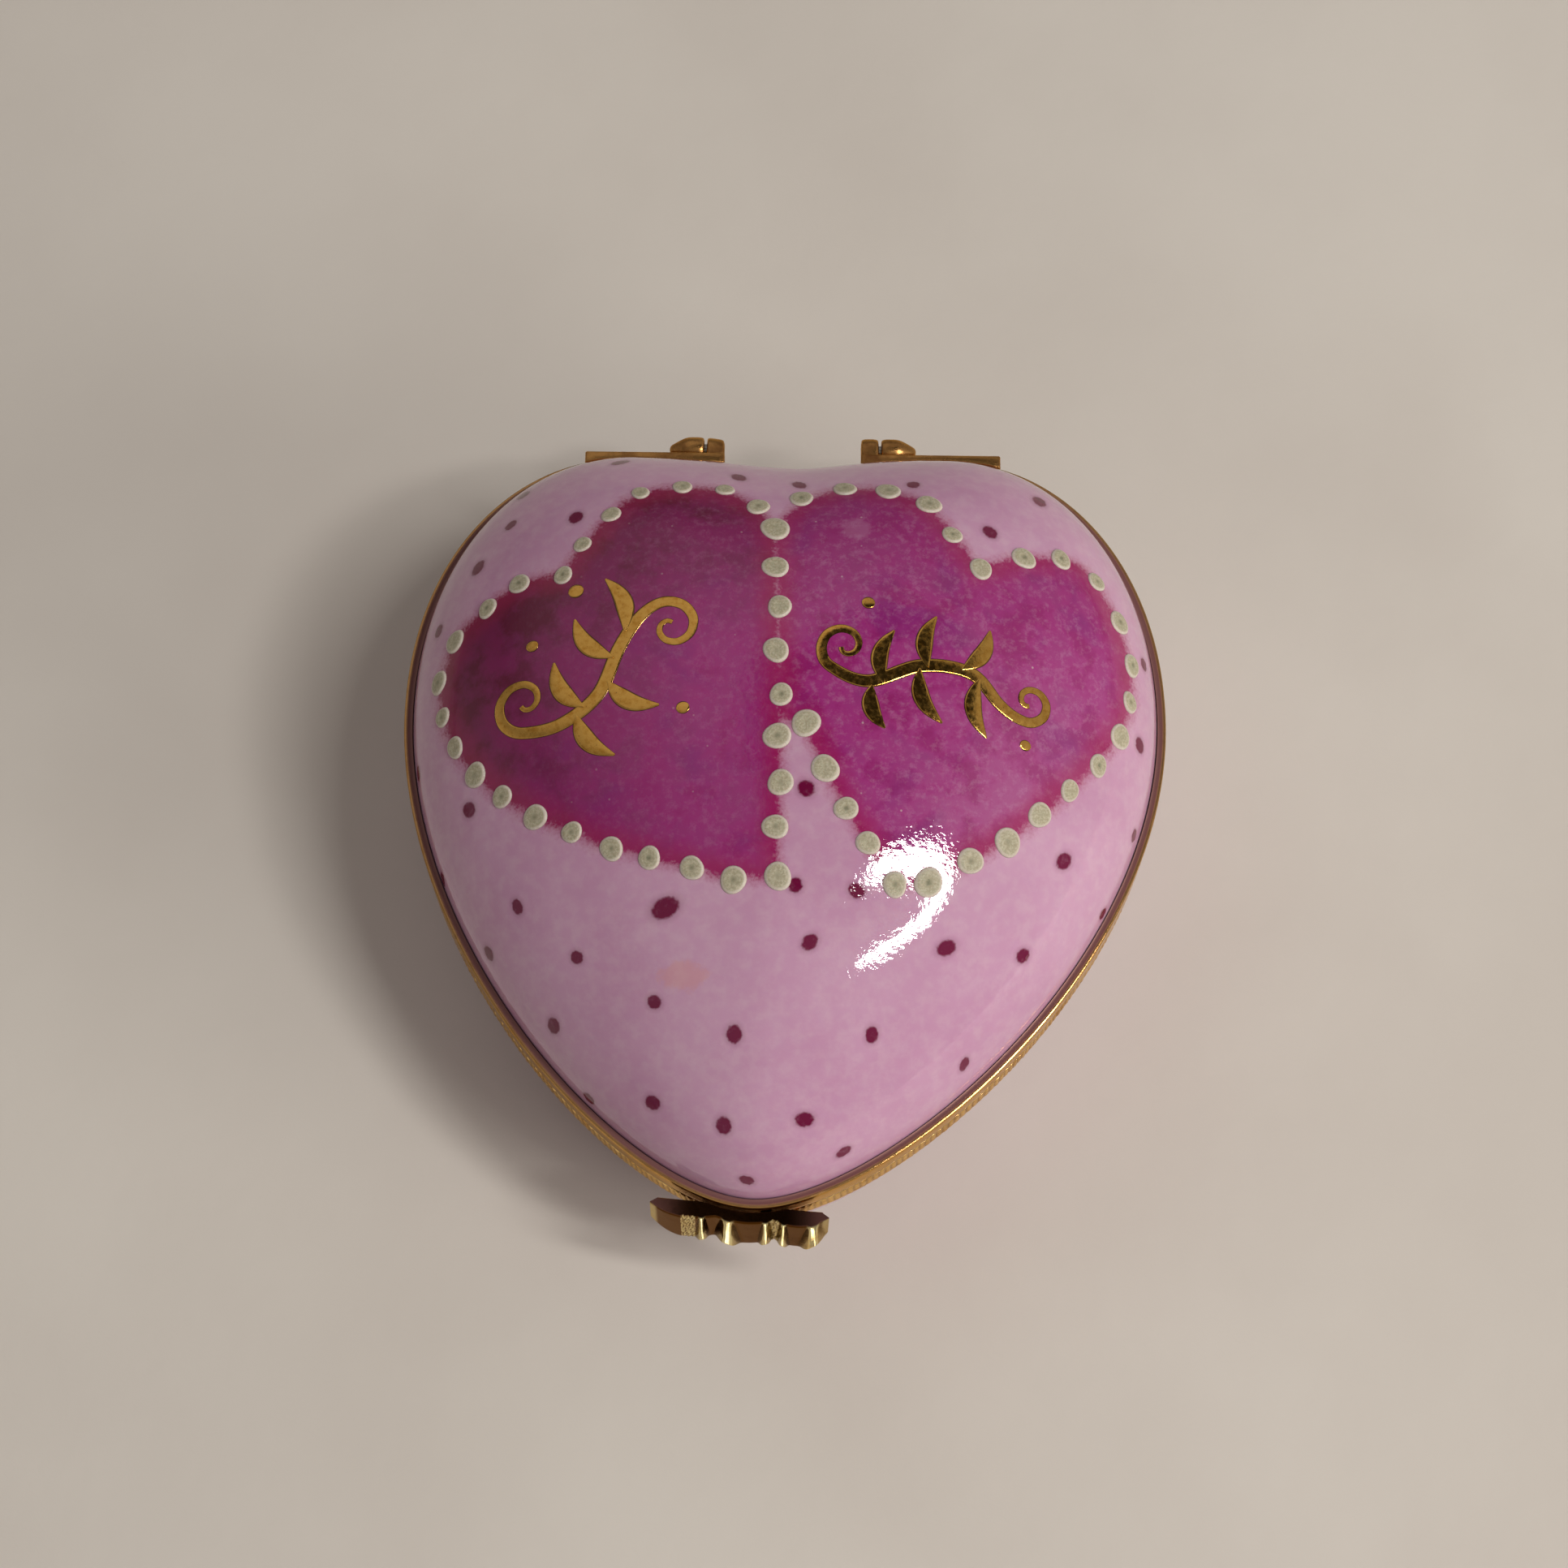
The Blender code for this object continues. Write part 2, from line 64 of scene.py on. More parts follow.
# Heart outline in the heart's own axes, right half, three cubic arcs
NOTCH = (0.0, 23.6)
LOBE = (11.2, 24.1)
RIGHT_LOBE_EXTRA = 0.4
WIDEST = (25.0, 5.9)
TIP = (0.0, -27.1)
TIP_LEAN = -1.1
LEAN_START_Y = 6.0
HEART_TURN = -math.atan(RIGHT_LOBE_EXTRA / (2 * LOBE[0]))

# Porcelain
WALL = 2.2
SIDE_HEIGHT = 1.35  # straight side between the parting plane and the dome
DOME_CENTRE_Y = 3.9
DOME_HEIGHT = LID_TOP - PARTING_Z - SIDE_HEIGHT
DOME_POWER_IN = 2.45
DOME_POWER_UP = 1.9
DOME_INSET = 0.2  # how far the glaze stands back from the lid's outline, above its straight side
FOOT_SCALE = 0.80
FOOT_POWER = 2.3

# Painted hearts on the lid, in the heart's own axes: runs of enamel dots and the dot count of each
SHARED_RUN = ([(-0.2, -9.1), (-0.2, -1.0), (-0.6, 8.0), (-1.0, 14.7)], 9)
LEFT_TOP_RUN = ([(-2.1, 16.8), (-5.5, 18.3), (-10.5, 17.2), (-14.7, 11.5)], 7)
LEFT_SIDE_RUN = ([(-17.4, 11.4), (-21.5, 8.3), (-22.4, 3.5), (-18.8, -2.4), (-11.7, -6.7), (-3.0, -9.3)], 14)
RIGHT_TOP_RUN = ([(0.8, 17.5), (4.0, 18.7), (8.5, 17.4), (12.2, 12.5)], 6)
RIGHT_SIDE_RUN = ([(15.1, 13.9), (19.5, 14.3), (22.4, 8.6), (21.6, 2.9), (15.8, -4.2), (9.4, -8.8)], 13)
RIGHT_SLANT_RUN = ([(7.3, -9.1), (3.9, -4.6), (1.3, 0.6)], 5)
DOT_RADII = (0.9, 0.72, 0.8, 0.78, 0.86, 0.84)  # mean of each run, in the order they are laid
DOT_HEIGHT = 0.19
DOT_ROOT = -0.12  # how far each dot reaches down into the glaze

# Painted spots on the ground of the lid, in the heart's own axes
SPOTS = (
    (-16.5, -10), (-12.5, -13.5), (-7.5, -16.5), (-2.5, -18.5), (-7.5, -22), (-3, -23.5), (2, -23), (6, -18),
    (2, -13), (10.5, -12.5), (15.5, -12), (18, -6), (1.5, -3.5), (1, -9.6), (4.8, -9.7), (-20, -3.5),
    (-22, -6.5), (-18.5, -12), (-14, -17), (-11.7, -21), (12, -18.5), (4.5, -24.3), (-1.5, -26.2), (21, -7.7),
    (23, -2.5), (23.2, 3), (23.6, 9), (16.5, 19.5), (13, 15.5), (8, 19.2), (0.5, 19.2), (-3.5, 19.8),
    (-11.5, 21.5), (-14, 16), (-18, 19.6), (-18.5, 16.5), (-20.5, 13.5), (-23, 9.6), (-24, 0.5), (4, 22.7),
)
SPOT_RADIUS = (0.45, 0.58)
SPOT_STRETCH = (1.0, 1.3)
BIG_SPOT = ((-7, -11), 0.74, 1.3, 0.4)  # place, radius, stretch, turn
BASE_SPOT_ROWS = ((8.6, 26, 0.0), (4.2, 24, 0.5))  # height, count, shift along the row
SCAR = (4.3, 14.9)  # where one enamel dot has come away

FAR = 9.0  # a painted value well away from any edge
RING_POINTS = 432  # points round each ring of the porcelain

RNG = np.random.default_rng(SEED)


# Outline and dome

def clamp(values):
    return np.clip(values, 0.0, 1.0)


def cubic_arc(p0, p1, p2, p3, count):
    t = np.linspace(0.0, 1.0, count)[:, None]
    p0, p1, p2, p3 = (np.array(p, dtype=float) for p in (p0, p1, p2, p3))
    return (1 - t) ** 3 * p0 + 3 * (1 - t) ** 2 * t * p1 + 3 * (1 - t) * t**2 * p2 + t**3 * p3


def evenly(points, count, closed=False):
    """Points spaced evenly along a dense polyline."""
    length = np.concatenate([[0.0], np.cumsum(np.hypot(*np.diff(points, axis=0).T))])
    wanted = np.linspace(0.0, length[-1], count, endpoint=not closed)
    return np.column_stack([np.interp(wanted, length, points[:, k]) for k in range(points.shape[1])])


def turn_heart(points):
    """Plan points turned about the notch from the heart's own axes to the box's axes."""
    cosine, sine = math.cos(HEART_TURN), math.sin(HEART_TURN)
    return np.array(NOTCH) + (np.asarray(points) - NOTCH) @ np.array([[cosine, sine], [-sine, cosine]])


def half_heart(lobe_y):
    back = cubic_arc(NOTCH, (3.2, NOTCH[1]), (4.5, lobe_y), (LOBE[0], lobe_y), 500)
    side = cubic_arc((LOBE[0], lobe_y), (18.7, lobe_y), (WIDEST[0], 16.9), WIDEST, 500)
    front = cubic_arc(WIDEST, (WIDEST[0], -11.1), (8.0, TIP[1]), TIP, 500)
    return np.vstack([back[:-1], side[:-1], front])


def dense_heart():
    left = half_heart(LOBE[1]) * (-1.0, 1.0)
    closed = np.vstack([left, half_heart(LOBE[1] + RIGHT_LOBE_EXTRA)[::-1][1:]])
    lean = clamp((LEAN_START_Y - closed[:, 1]) / (LEAN_START_Y - TIP[1])) ** 2
    closed[:, 0] += TIP_LEAN * lean
    return turn_heart(closed)


HEART = dense_heart()
DOME_CENTRE = turn_heart((0.0, DOME_CENTRE_Y))
OUTLINE_TIP = HEART[np.argmin(HEART[:, 1])]


def heart_frame(count):
    """Evenly spaced outline points, anticlockwise from the notch, with outward normals and arc length."""
    points = evenly(HEART, count, closed=True)
    along = np.roll(points, -1, axis=0) - np.roll(points, 1, axis=0)
    normals = np.column_stack([along[:, 1], -along[:, 0]])
    normals /= np.hypot(*normals.T)[:, None]
    length = np.hypot(*np.diff(HEART, axis=0).T).sum()
    return points, normals, np.linspace(0.0, length, count, endpoint=False)


def radius_table():
    arm = HEART - DOME_CENTRE
    bearing = np.arctan2(arm[:, 1], arm[:, 0])
    order = np.argsort(bearing)
    turns = np.concatenate([bearing[order] - 2 * math.pi, bearing[order], bearing[order] + 2 * math.pi])
    return turns, np.tile(np.hypot(*arm.T)[order], 3) - DOME_INSET


BEARINGS, RADII = radius_table()


def share_out(x, y):
    """How far out a plan point lies: 0 at the dome's centre, 1 on the outline."""
    dx, dy = np.asarray(x) - DOME_CENTRE[0], np.asarray(y) - DOME_CENTRE[1]
    return np.hypot(dx, dy) / np.interp(np.arctan2(dy, dx), BEARINGS, RADII)


def dome_z(x, y):
    share = clamp(share_out(x, y))
    rise = clamp(1.0 - share**DOME_POWER_IN) ** (1.0 / DOME_POWER_UP)
    return PARTING_Z + SIDE_HEIGHT + DOME_HEIGHT * rise


def dome_normal(x, y, step=0.02):
    slope_x = (dome_z(x + step, y) - dome_z(x - step, y)) / (2 * step)
    slope_y = (dome_z(x, y + step) - dome_z(x, y - step)) / (2 * step)
    normal = np.stack([-slope_x, -slope_y, np.ones_like(slope_x)], axis=-1)
    return normal / np.linalg.norm(normal, axis=-1, keepdims=True)


def on_dome(x, y, lift=0.0):
    """Point above the plan point, raised along the surface normal."""
    x, y = np.asarray(x, dtype=float), np.asarray(y, dtype=float)
    lift = np.asarray(lift, dtype=float)
    return np.stack([x, y, dome_z(x, y)], axis=-1) + dome_normal(x, y) * lift[..., None]


def smooth_run(anchors, count):
    """A Catmull-Rom curve through the anchors, as evenly spaced points."""
    pts = [np.array(p, dtype=float) for p in anchors]
    pts = [2 * pts[0] - pts[1]] + pts + [2 * pts[-1] - pts[-2]]
    t = np.linspace(0.0, 1.0, 60)[:, None]
    pieces = []
    for a, b, c, d in zip(pts, pts[1:], pts[2:], pts[3:]):
        pieces.append(
            0.5 * (2 * b + (c - a) * t + (2 * a - 5 * b + 4 * c - d) * t**2 + (3 * b - a - 3 * c + d) * t**3)
        )
    return evenly(np.vstack(pieces), count)


# Mesh helpers

def make_piece(name, points, faces, material, body, smooth_angle=40.0):
    """A mesh from millimetre points, riding on a body."""
    mesh = bpy.data.meshes.new(name)
    mesh.from_pydata((np.asarray(points) * MM).tolist(), [], faces)
    mesh.materials.append(material)
    mesh.shade_smooth()
    mesh.set_sharp_from_angle(angle=math.radians(smooth_angle))
    obj = bpy.data.objects.new(name, mesh)
    bpy.context.scene.collection.objects.link(obj)
    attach(obj, body)
    return obj


def add_values(obj, name, values):
    """Gives each point of a piece a value that its material reads."""
    attribute = obj.data.attributes.new(name, "FLOAT", "POINT")
    attribute.data.foreach_set("value", np.asarray(values, dtype=np.float32))


def neighbours(count):
    """Each place round a ring with the next one."""
    return [(i, (i + 1) % count) for i in range(count)]


def bridge(low, high, count):
    """Quads from one ring of points to another, given the first point of each."""
    return [(low + i, low + j, high + j, high + i) for i, j in neighbours(count)]


def ring_faces(loops, count, closed=False, first=0):
    """Quads between successive rings of equal count."""
    faces = []
    for k in range(loops if closed else loops - 1):
        faces += bridge(first + k * count, first + (k + 1) % loops * count, count)
    return faces


def fan_faces(ring_start, count, hub, upward):
    pairs = [(ring_start + i, ring_start + j) for i, j in neighbours(count)]
    return [(hub, a, b) if upward else (hub, b, a) for a, b in pairs]


def flat_ring(points, z):
    return np.column_stack([points, np.full(len(points), z)])


def scaled(points, share):
    return DOME_CENTRE + (points - DOME_CENTRE) * share


def quarter(steps):
    """Angles between the ends of a quarter turn."""
    return [0.5 * math.pi * k / steps for k in range(1, steps)]


def dome_rings(steps):
    """Share out and share of the height of each ring of a dome, from its edge up."""
    powers = (2.0 / DOME_POWER_IN, 2.0 / DOME_POWER_UP)
    return [(math.cos(a) ** powers[0], math.sin(a) ** powers[1]) for a in quarter(steps)]


# Signed distances for the painting

def distance_to_outline(x, y, outline):
    """Signed distance in plan to a closed outline, negative inside."""
    best = np.full(len(x), 1e9)
    inside = np.zeros(len(x), dtype=bool)
    for (ax, ay), (bx, by) in zip(outline, np.roll(outline, -1, axis=0)):
        ux, uy = bx - ax, by - ay
        t = clamp(((x - ax) * ux + (y - ay) * uy) / (ux * ux + uy * uy + 1e-12))
        best = np.minimum(best, (x - ax - t * ux) ** 2 + (y - ay - t * uy) ** 2)
        if ay != by:
            crosses = (ay > y) != (by > y)
            inside ^= crosses & (x < ux * (y - ay) / uy + ax)
    return np.sqrt(best) * np.where(inside, -1.0, 1.0)


def run_dots(run, count=None):
    """A run's dot centres, or more points along the same curve."""
    anchors, dots = run
    return turn_heart(smooth_run(anchors, count or dots))


def panel_outlines():
    """Outlines of the left and the right painted heart."""
    left = np.vstack([run_dots(run, 40) for run in (SHARED_RUN, LEFT_TOP_RUN, LEFT_SIDE_RUN)])
    upper_share = run_dots(SHARED_RUN, 60)
    upper_share = upper_share[upper_share[:, 1] > 1.0]
    right = [run_dots(run, 40) for run in (RIGHT_TOP_RUN, RIGHT_SIDE_RUN, RIGHT_SLANT_RUN)]
    return left, np.vstack([upper_share] + right)


def lid_spots():
    """Plan place, radius, stretch and turn of each painted spot on the lid."""
    spots = []
    for place in SPOTS:
        limits = (SPOT_RADIUS, SPOT_STRETCH, (0.0, math.pi))
        spots.append((turn_heart(place), *(RNG.uniform(*limit) for limit in limits)))
    spots.append((turn_heart(BIG_SPOT[0]), *BIG_SPOT[1:]))
    return spots


def spot_field(points, spots):
    """For each 3-D point, its distance to the nearest spot in units of that spot's radius."""
    field = np.full(len(points), FAR)
    for centre, side, over, radius, stretch in spots:
        arm = points - centre
        reach = np.sqrt((arm @ side / stretch) ** 2 + (arm @ over * stretch**0.5) ** 2)
        depth = np.abs(arm @ np.cross(side, over))
        field = np.minimum(field, (reach + depth) / radius)
    return field


def lid_spot_frames():
    frames = []
    for place, radius, stretch, turn in lid_spots():
        centre = on_dome(*place)
        normal = dome_normal(np.array(place[0]), np.array(place[1]))
        side = np.cross(normal, (math.sin(turn), -math.cos(turn), 0.0))
        side /= np.linalg.norm(side)
        frames.append((centre, side, np.cross(normal, side), radius, stretch))
    return frames


# Materials

COLOUR_A, COLOUR_B, COLOUR_RESULT = 6, 7, 2  # places of the colour sockets on a mix node


def add_node(tree, kind, inputs, **settings):
    """Adds a shader node with its settings; inputs, by name or place, take a number, a colour or a link."""
    node = tree.nodes.new("ShaderNode" + kind)
    for name, value in settings.items():
        setattr(node, name, value)
    for name, value in inputs.items():
        feed(tree, value, node.inputs[name])
    return node


def feed(tree, value, port):
    if isinstance(value, (int, float)):
        port.default_value = value
    elif isinstance(value, tuple):
        port.default_value = (*value, 1.0) if port.type == "RGBA" else value
    else:
        tree.links.new(value, port)


class Graph:
    """A material's node tree with short ways to add nodes."""

    def __init__(self, name):
        self.material = bpy.data.materials.new(name)
        self.material.use_nodes = True
        self.tree = self.material.node_tree
        self.shader = self.tree.nodes["Principled BSDF"]
        self.place = self.add("TexCoord", {}).outputs["Object"]

    def add(self, kind, inputs, **settings):
        return add_node(self.tree, kind, inputs, **settings)

    def set(self, **inputs):
        """Sets shader inputs; underscores stand for spaces."""
        for name, value in inputs.items():
            feed(self.tree, value, self.shader.inputs[name.replace("_", " ")])

    def attribute(self, name):
        return self.add("Attribute", {}, attribute_name=name).outputs["Fac"]

    def stretch(self, x, y, z):
        return self.add("Mapping", {"Vector": self.place, "Scale": (x, y, z)}).outputs["Vector"]

    def noise(self, size_mm, detail=3.0, rough=0.5, vector=None, distort=0.0):
        """Noise whose features are about size_mm wide."""
        inputs = {"Vector": self.place if vector is None else vector, "Scale": 1.0 / (size_mm * MM)}
        inputs.update({"Detail": detail, "Roughness": rough, "Distortion": distort})
        return self.add("TexNoise", inputs).outputs["Fac"]

    def cells(self, size_mm):
        """Distance to the nearest of points scattered about size_mm apart."""
        inputs = {"Vector": self.place, "Scale": 1.0 / (size_mm * MM)}
        return self.add("TexVoronoi", inputs).outputs["Distance"]

    def math(self, operation, a, b, clamp=False):
        return self.add("Math", {0: a, 1: b}, operation=operation, use_clamp=clamp).outputs[0]

    def times(self, a, b):
        return self.math("MULTIPLY", a, b)

    def plus(self, a, b):
        return self.math("ADD", a, b)

    def centred(self, value, amount):
        """A value from 0 to 1 moved to lie about nought, times an amount."""
        return self.times(self.math("SUBTRACT", value, 0.5), amount)

    def step(self, value, low, high, to_low=0.0, to_high=1.0):
        """Smooth step of a value between two limits."""
        inputs = {"Value": value, "From Min": low, "From Max": high, "To Min": to_low, "To Max": to_high}
        return self.add("MapRange", inputs, interpolation_type="SMOOTHSTEP").outputs["Result"]

    def mix(self, share, a, b):
        inputs = {"Factor": share, COLOUR_A: a, COLOUR_B: b}
        return self.add("Mix", inputs, data_type="RGBA").outputs[COLOUR_RESULT]

    def bump(self, height, depth_mm, strength=1.0, below=None):
        inputs = {"Strength": strength, "Distance": depth_mm * MM, "Height": height}
        if below is not None:
            inputs["Normal"] = below
        return self.add("Bump", inputs).outputs["Normal"]


def srgb(red, green, blue):
    """Linear colour from 0-255 display values."""
    shares = (red / 255, green / 255, blue / 255)
    return tuple(((v + 0.055) / 1.055) ** 2.4 if v > 0.04045 else v / 12.92 for v in shares)


PINK = srgb(194, 149, 178)
PINK_DEEP = srgb(182, 130, 164)
WHITE_GLAZE = srgb(228, 220, 212)
FUCHSIA_DEEP = srgb(94, 12, 50)
FUCHSIA = srgb(142, 32, 104)
FUCHSIA_LIGHT = srgb(166, 58, 134)
FUCHSIA_VIOLET = srgb(122, 38, 112)
FUCHSIA_EDGE = srgb(150, 26, 74)
SPOT_COLOUR = srgb(104, 14, 56)
SMUDGE = srgb(204, 142, 134)
SMUDGE_PLACE = (-5.9, -15.1)


def glaze_ground(g):
    """Cloudy lilac pink, as sponged under the glaze."""
    clouds = g.step(g.noise(8.0, 3.0, 0.55), 0.35, 0.68)
    fine = g.step(g.noise(0.9, 4.0, 0.6), 0.35, 0.75)
    ground = g.mix(g.times(clouds, 0.55), PINK, PINK_DEEP)
    return g.mix(g.times(fine, 0.12), ground, WHITE_GLAZE)


def add_spots(g, ground):
    """Dark brush spots with a slightly uneven edge and a faint bleed round them."""
    ragged = g.centred(g.noise(0.3, 2.0), 0.34)
    field = g.plus(g.attribute("spot"), ragged)
    halo = g.times(g.step(field, 1.8, 0.9), 0.25)
    core = g.times(g.step(field, 1.16, 0.84), g.step(g.noise(0.4, 2.0), 0.1, 0.5, 0.8, 1.0))
    return g.mix(core, g.mix(halo, ground, SPOT_COLOUR), SPOT_COLOUR)


def fired_surface(g):
    """Gloss of a fired glaze: slow waves that bend reflections, and a fine crinkle at their edges."""
    waves = g.bump(g.noise(4.0, 1.5, 0.4), 0.006, 1.0)
    crinkle = g.bump(g.noise(0.44, 2.1, 0.56), 0.0098, 1.0, below=waves)
    smears = g.step(g.noise(6.0, 4.0, 0.65), 0.45, 0.8, 0.008, 0.03)
    g.set(Roughness=smears, Normal=crinkle, IOR=1.53)
    g.set(Subsurface_Weight=0.05, Subsurface_Scale=0.5 * MM)


def panel_paint(g):
    """Sponged fuchsia: clouds, fine pale mottling, a few violet patches and small pale flecks, with painted
    shade to the left and back and painted light to the right front.
    """
    clouds = g.step(g.noise(2.6, 5.0, 0.62), 0.34, 0.66)
    body = g.mix(clouds, FUCHSIA, FUCHSIA_LIGHT)
    violet = g.times(g.step(g.noise(4.2, 3.0, 0.55, distort=0.4), 0.5, 0.72), 0.5)
    body = g.mix(violet, body, FUCHSIA_VIOLET)
    # Painted shade: the fuchsia darkens towards the left and the back, the sides away from the key light,
    # mixed with the paint's own clouds
    shade_and_clouds = g.math("ADD", g.attribute("painted_shade"), g.centred(clouds, 0.5), clamp=True)
    body = g.mix(shade_and_clouds, body, FUCHSIA_DEEP)
    clear = g.attribute("mottled")
    mottle = g.times(g.step(g.noise(0.55, 4.0, 0.75), 0.45, 0.72), clear)
    body = g.mix(g.times(mottle, 0.24), body, PINK)
    # Painted light: the right heart pales towards its right and front, the side facing the key light
    body = g.mix(g.times(g.attribute("pale"), g.step(clouds, 0.0, 1.0, 0.12, 0.24)), body, PINK)
    flecks = g.times(g.step(g.cells(1.7), 0.055, 0.03), clear)
    return g.mix(g.times(flecks, 0.34), body, WHITE_GLAZE)


def patch_mask(g, place, radius, ragged, strength, stretch=1.0):
    """Share of a soft uneven patch about a plan place."""
    x, y = turn_heart(place)
    inputs = {0: g.stretch(1.0, stretch, 0.0), 1: (x * MM, y * stretch * MM, 0.0)}
    reach = g.add("VectorMath", inputs, operation="DISTANCE").outputs["Value"]
    reach = g.plus(reach, g.centred(g.noise(ragged, 4.0, 0.65), 2.4 * ragged * MM))
    return g.times(g.step(reach, radius * MM, 0.6 * radius * MM), strength)


def lid_glaze_material():
    g = Graph("painted_lid_glaze")
    ground = g.mix(patch_mask(g, SMUDGE_PLACE, 1.7, 1.2, 0.4, 1.5), glaze_ground(g), SMUDGE)
    ground = add_spots(g, ground)
    rag = g.centred(g.noise(1.0, 4.0, 0.62), 0.9)
    grain = g.centred(g.noise(0.2, 3.0, 0.6), 0.9)
    distance = g.plus(g.plus(g.attribute("panel"), rag), grain)
    edge = g.step(g.plus(g.attribute("panel_edge"), rag), 2.0, 0.1)
    body = g.mix(patch_mask(g, SCAR, 1.1, 0.3, 0.2), panel_paint(g), PINK)
    body = g.mix(g.times(edge, 0.6), body, FUCHSIA_EDGE)
    wash = g.times(g.step(distance, 0.8, 0.0), 0.4)
    colour = g.mix(wash, ground, FUCHSIA_EDGE)
    colour = g.mix(g.step(distance, 0.25, -0.25), colour, body)
    colour = g.mix(g.attribute("inside"), colour, WHITE_GLAZE)
    g.set(Base_Color=colour)
    fired_surface(g)
    return g.material


def base_glaze_material():
    g = Graph("painted_base_glaze")
    colour = add_spots(g, glaze_ground(g))
    colour = g.mix(g.attribute("inside"), colour, WHITE_GLAZE)
    g.set(Base_Color=colour)
    fired_surface(g)
    return g.material


def enamel_material():
    """Matt grey-green enamel with a paler rim, a thin painted contact shadow round its foot and a pitted
    speck in the middle.
    """
    g = Graph("raised_enamel")
    centre = g.attribute("centre")
    grains = g.noise(0.15, 3.0, 0.7)
    body = g.mix(g.step(grains, 0.35, 0.7), srgb(156, 149, 124), srgb(188, 181, 158))
    rim = g.mix(g.step(grains, 0.3, 0.7), srgb(194, 182, 170), srgb(212, 204, 191))
    colour = g.mix(g.step(g.plus(centre, g.times(grains, 0.2)), 0.2, 0.4), rim, body)
    speck = g.step(g.plus(centre, g.centred(grains, 0.9)), 0.66, 1.0)
    some = g.step(g.noise(3.5, 1.0), 0.38, 0.62, 0.1, 0.75)
    colour = g.mix(g.times(speck, some), colour, srgb(92, 94, 68))
    # Painted shade: a thin dark mauve line where the dot meets the glaze
    colour = g.mix(g.times(g.step(centre, 0.07, 0.0), 0.7), colour, srgb(120, 62, 84))
    g.set(Base_Color=colour, Roughness=g.step(centre, 0.2, 0.7, 0.42, 0.62), IOR=1.45)
    g.set(Normal=g.bump(grains, 0.03, 0.7), Subsurface_Weight=0.08, Subsurface_Scale=0.3 * MM)
    return g.material


def gilt_material():
    """Burnished gold with fine pinholes and a thin dark line where it meets the glaze."""
    g = Graph("fired_gilding")
    worn = g.step(g.noise(0.5, 4.0, 0.65), 0.4, 0.75)
    gold = g.mix(worn, srgb(236, 184, 94), srgb(208, 150, 62))
    pinholes = g.step(g.noise(0.13, 3.0, 0.6), 0.62, 0.74)
    gold = g.mix(g.times(pinholes, 0.6), gold, srgb(96, 50, 34))
    rim = g.step(g.attribute("edge"), 0.78, 0.97)
    g.set(Base_Color=g.mix(rim, gold, srgb(52, 26, 22)))
    g.set(Metallic=g.step(g.attribute("edge"), 0.85, 1.0, 1.0, 0.3))
    g.set(Roughness=g.step(g.noise(0.3), 0.3, 0.8, 0.1, 0.24), Normal=g.bump(g.noise(0.2), 0.006, 0.8))
    return g.material


BRASS_LIGHT = srgb(252, 216, 146)
BRASS_DARK = srgb(196, 146, 82)
BRASS_BROWN = srgb(104, 62, 36)
# Mauve brown painted on the brass beside the glaze: a painted reflection of the pink glaze and its shade
REFLECTED_GLAZE_MAUVE = srgb(124, 84, 84)
BRASS_TINT = srgb(250, 230, 188)
# Duller edge tint for patina and painted shade
PATINA_AND_SHADE_TINT = srgb(228, 202, 180)
# Dark brown for grime on the clasp and for the painted shade on its walls, top and seat
CLASP_SHADE_AND_GRIME = srgb(74, 46, 25)
# Near-white edge tint for the clasp, part of its painted highlight
CLASP_HIGHLIGHT_TINT = srgb(255, 246, 216)
RIB_FLARE = 3.6  # mm, how far the finish of a cast rib turns its face up towards the light


def brass_material(name, light, dark, roughness, scratch=0.01, brown=BRASS_BROWN, tint=BRASS_TINT):
    """Lightly worn brass: tarnish in clouds, patina and painted shade in recesses and on shaded walls, a
    painted mauve-brown reflection and shade by the glaze, scratches and pits.
    """
    g = Graph(name)
    tarnish = g.step(g.noise(2.4, 5.0, 0.65), 0.4, 0.74)
    grime = g.step(g.noise(0.5, 4.0, 0.6), 0.5, 0.8)
    colour = g.mix(tarnish, light, dark)
    patina_and_shade = g.attribute("patina_and_shade")
    colour = g.mix(g.times(grime, 0.4), colour, brown)
    # Brown for patina in hollows, and painted shade on the clasp's walls and top and on the solder seat
    colour = g.mix(patina_and_shade, colour, brown)
    painted_reflection = g.attribute("painted_reflection")
    scratches = g.noise(0.12, 4.0, 0.7, vector=g.stretch(0.25, 1.0, 2.0))
    # Painted reflection: mauve brown beside the glaze, less metallic and rougher, stands in for the glaze
    # reflected in the brass and its shade
    g.set(Base_Color=g.mix(painted_reflection, colour, REFLECTED_GLAZE_MAUVE), Metallic=g.step(painted_reflection, 0.0, 1.0, 1.0, 0.25))
    # The edge tint dulls there as well, with the same patina and painted shade
    g.set(Specular_Tint=g.mix(patina_and_shade, tint, PATINA_AND_SHADE_TINT))
    worn = g.step(tarnish, 0.0, 1.0, roughness, roughness + 0.16)
    g.set(Roughness=g.math("MAXIMUM", worn, g.times(painted_reflection, 0.4)))
    flare = g.bump(g.attribute("flare"), RIB_FLARE, 1.0)
    g.set(Normal=g.bump(scratches, scratch, 0.6, below=flare))
    return g.material


def cement_material():
    g = Graph("bedding_cement")
    colour = g.mix(g.step(g.noise(0.8, 5.0, 0.7), 0.3, 0.7), srgb(214, 206, 188), srgb(176, 164, 142))
    g.set(Base_Color=colour, Roughness=0.9, Normal=g.bump(g.noise(0.2, 4.0, 0.7), 0.05, 0.8))
    return g.material


def steel_material():
    g = Graph("drawn_wire")
    streaks = g.noise(0.2, 4.0, 0.6, vector=g.stretch(0.1, 1.0, 1.0))
    g.set(Base_Color=g.mix(streaks, srgb(188, 184, 176), srgb(132, 126, 116)), Metallic=1.0)
    g.set(Roughness=g.step(streaks, 0.2, 0.8, 0.22, 0.42), Normal=g.bump(streaks, 0.01, 0.6))
    return g.material


# Porcelain

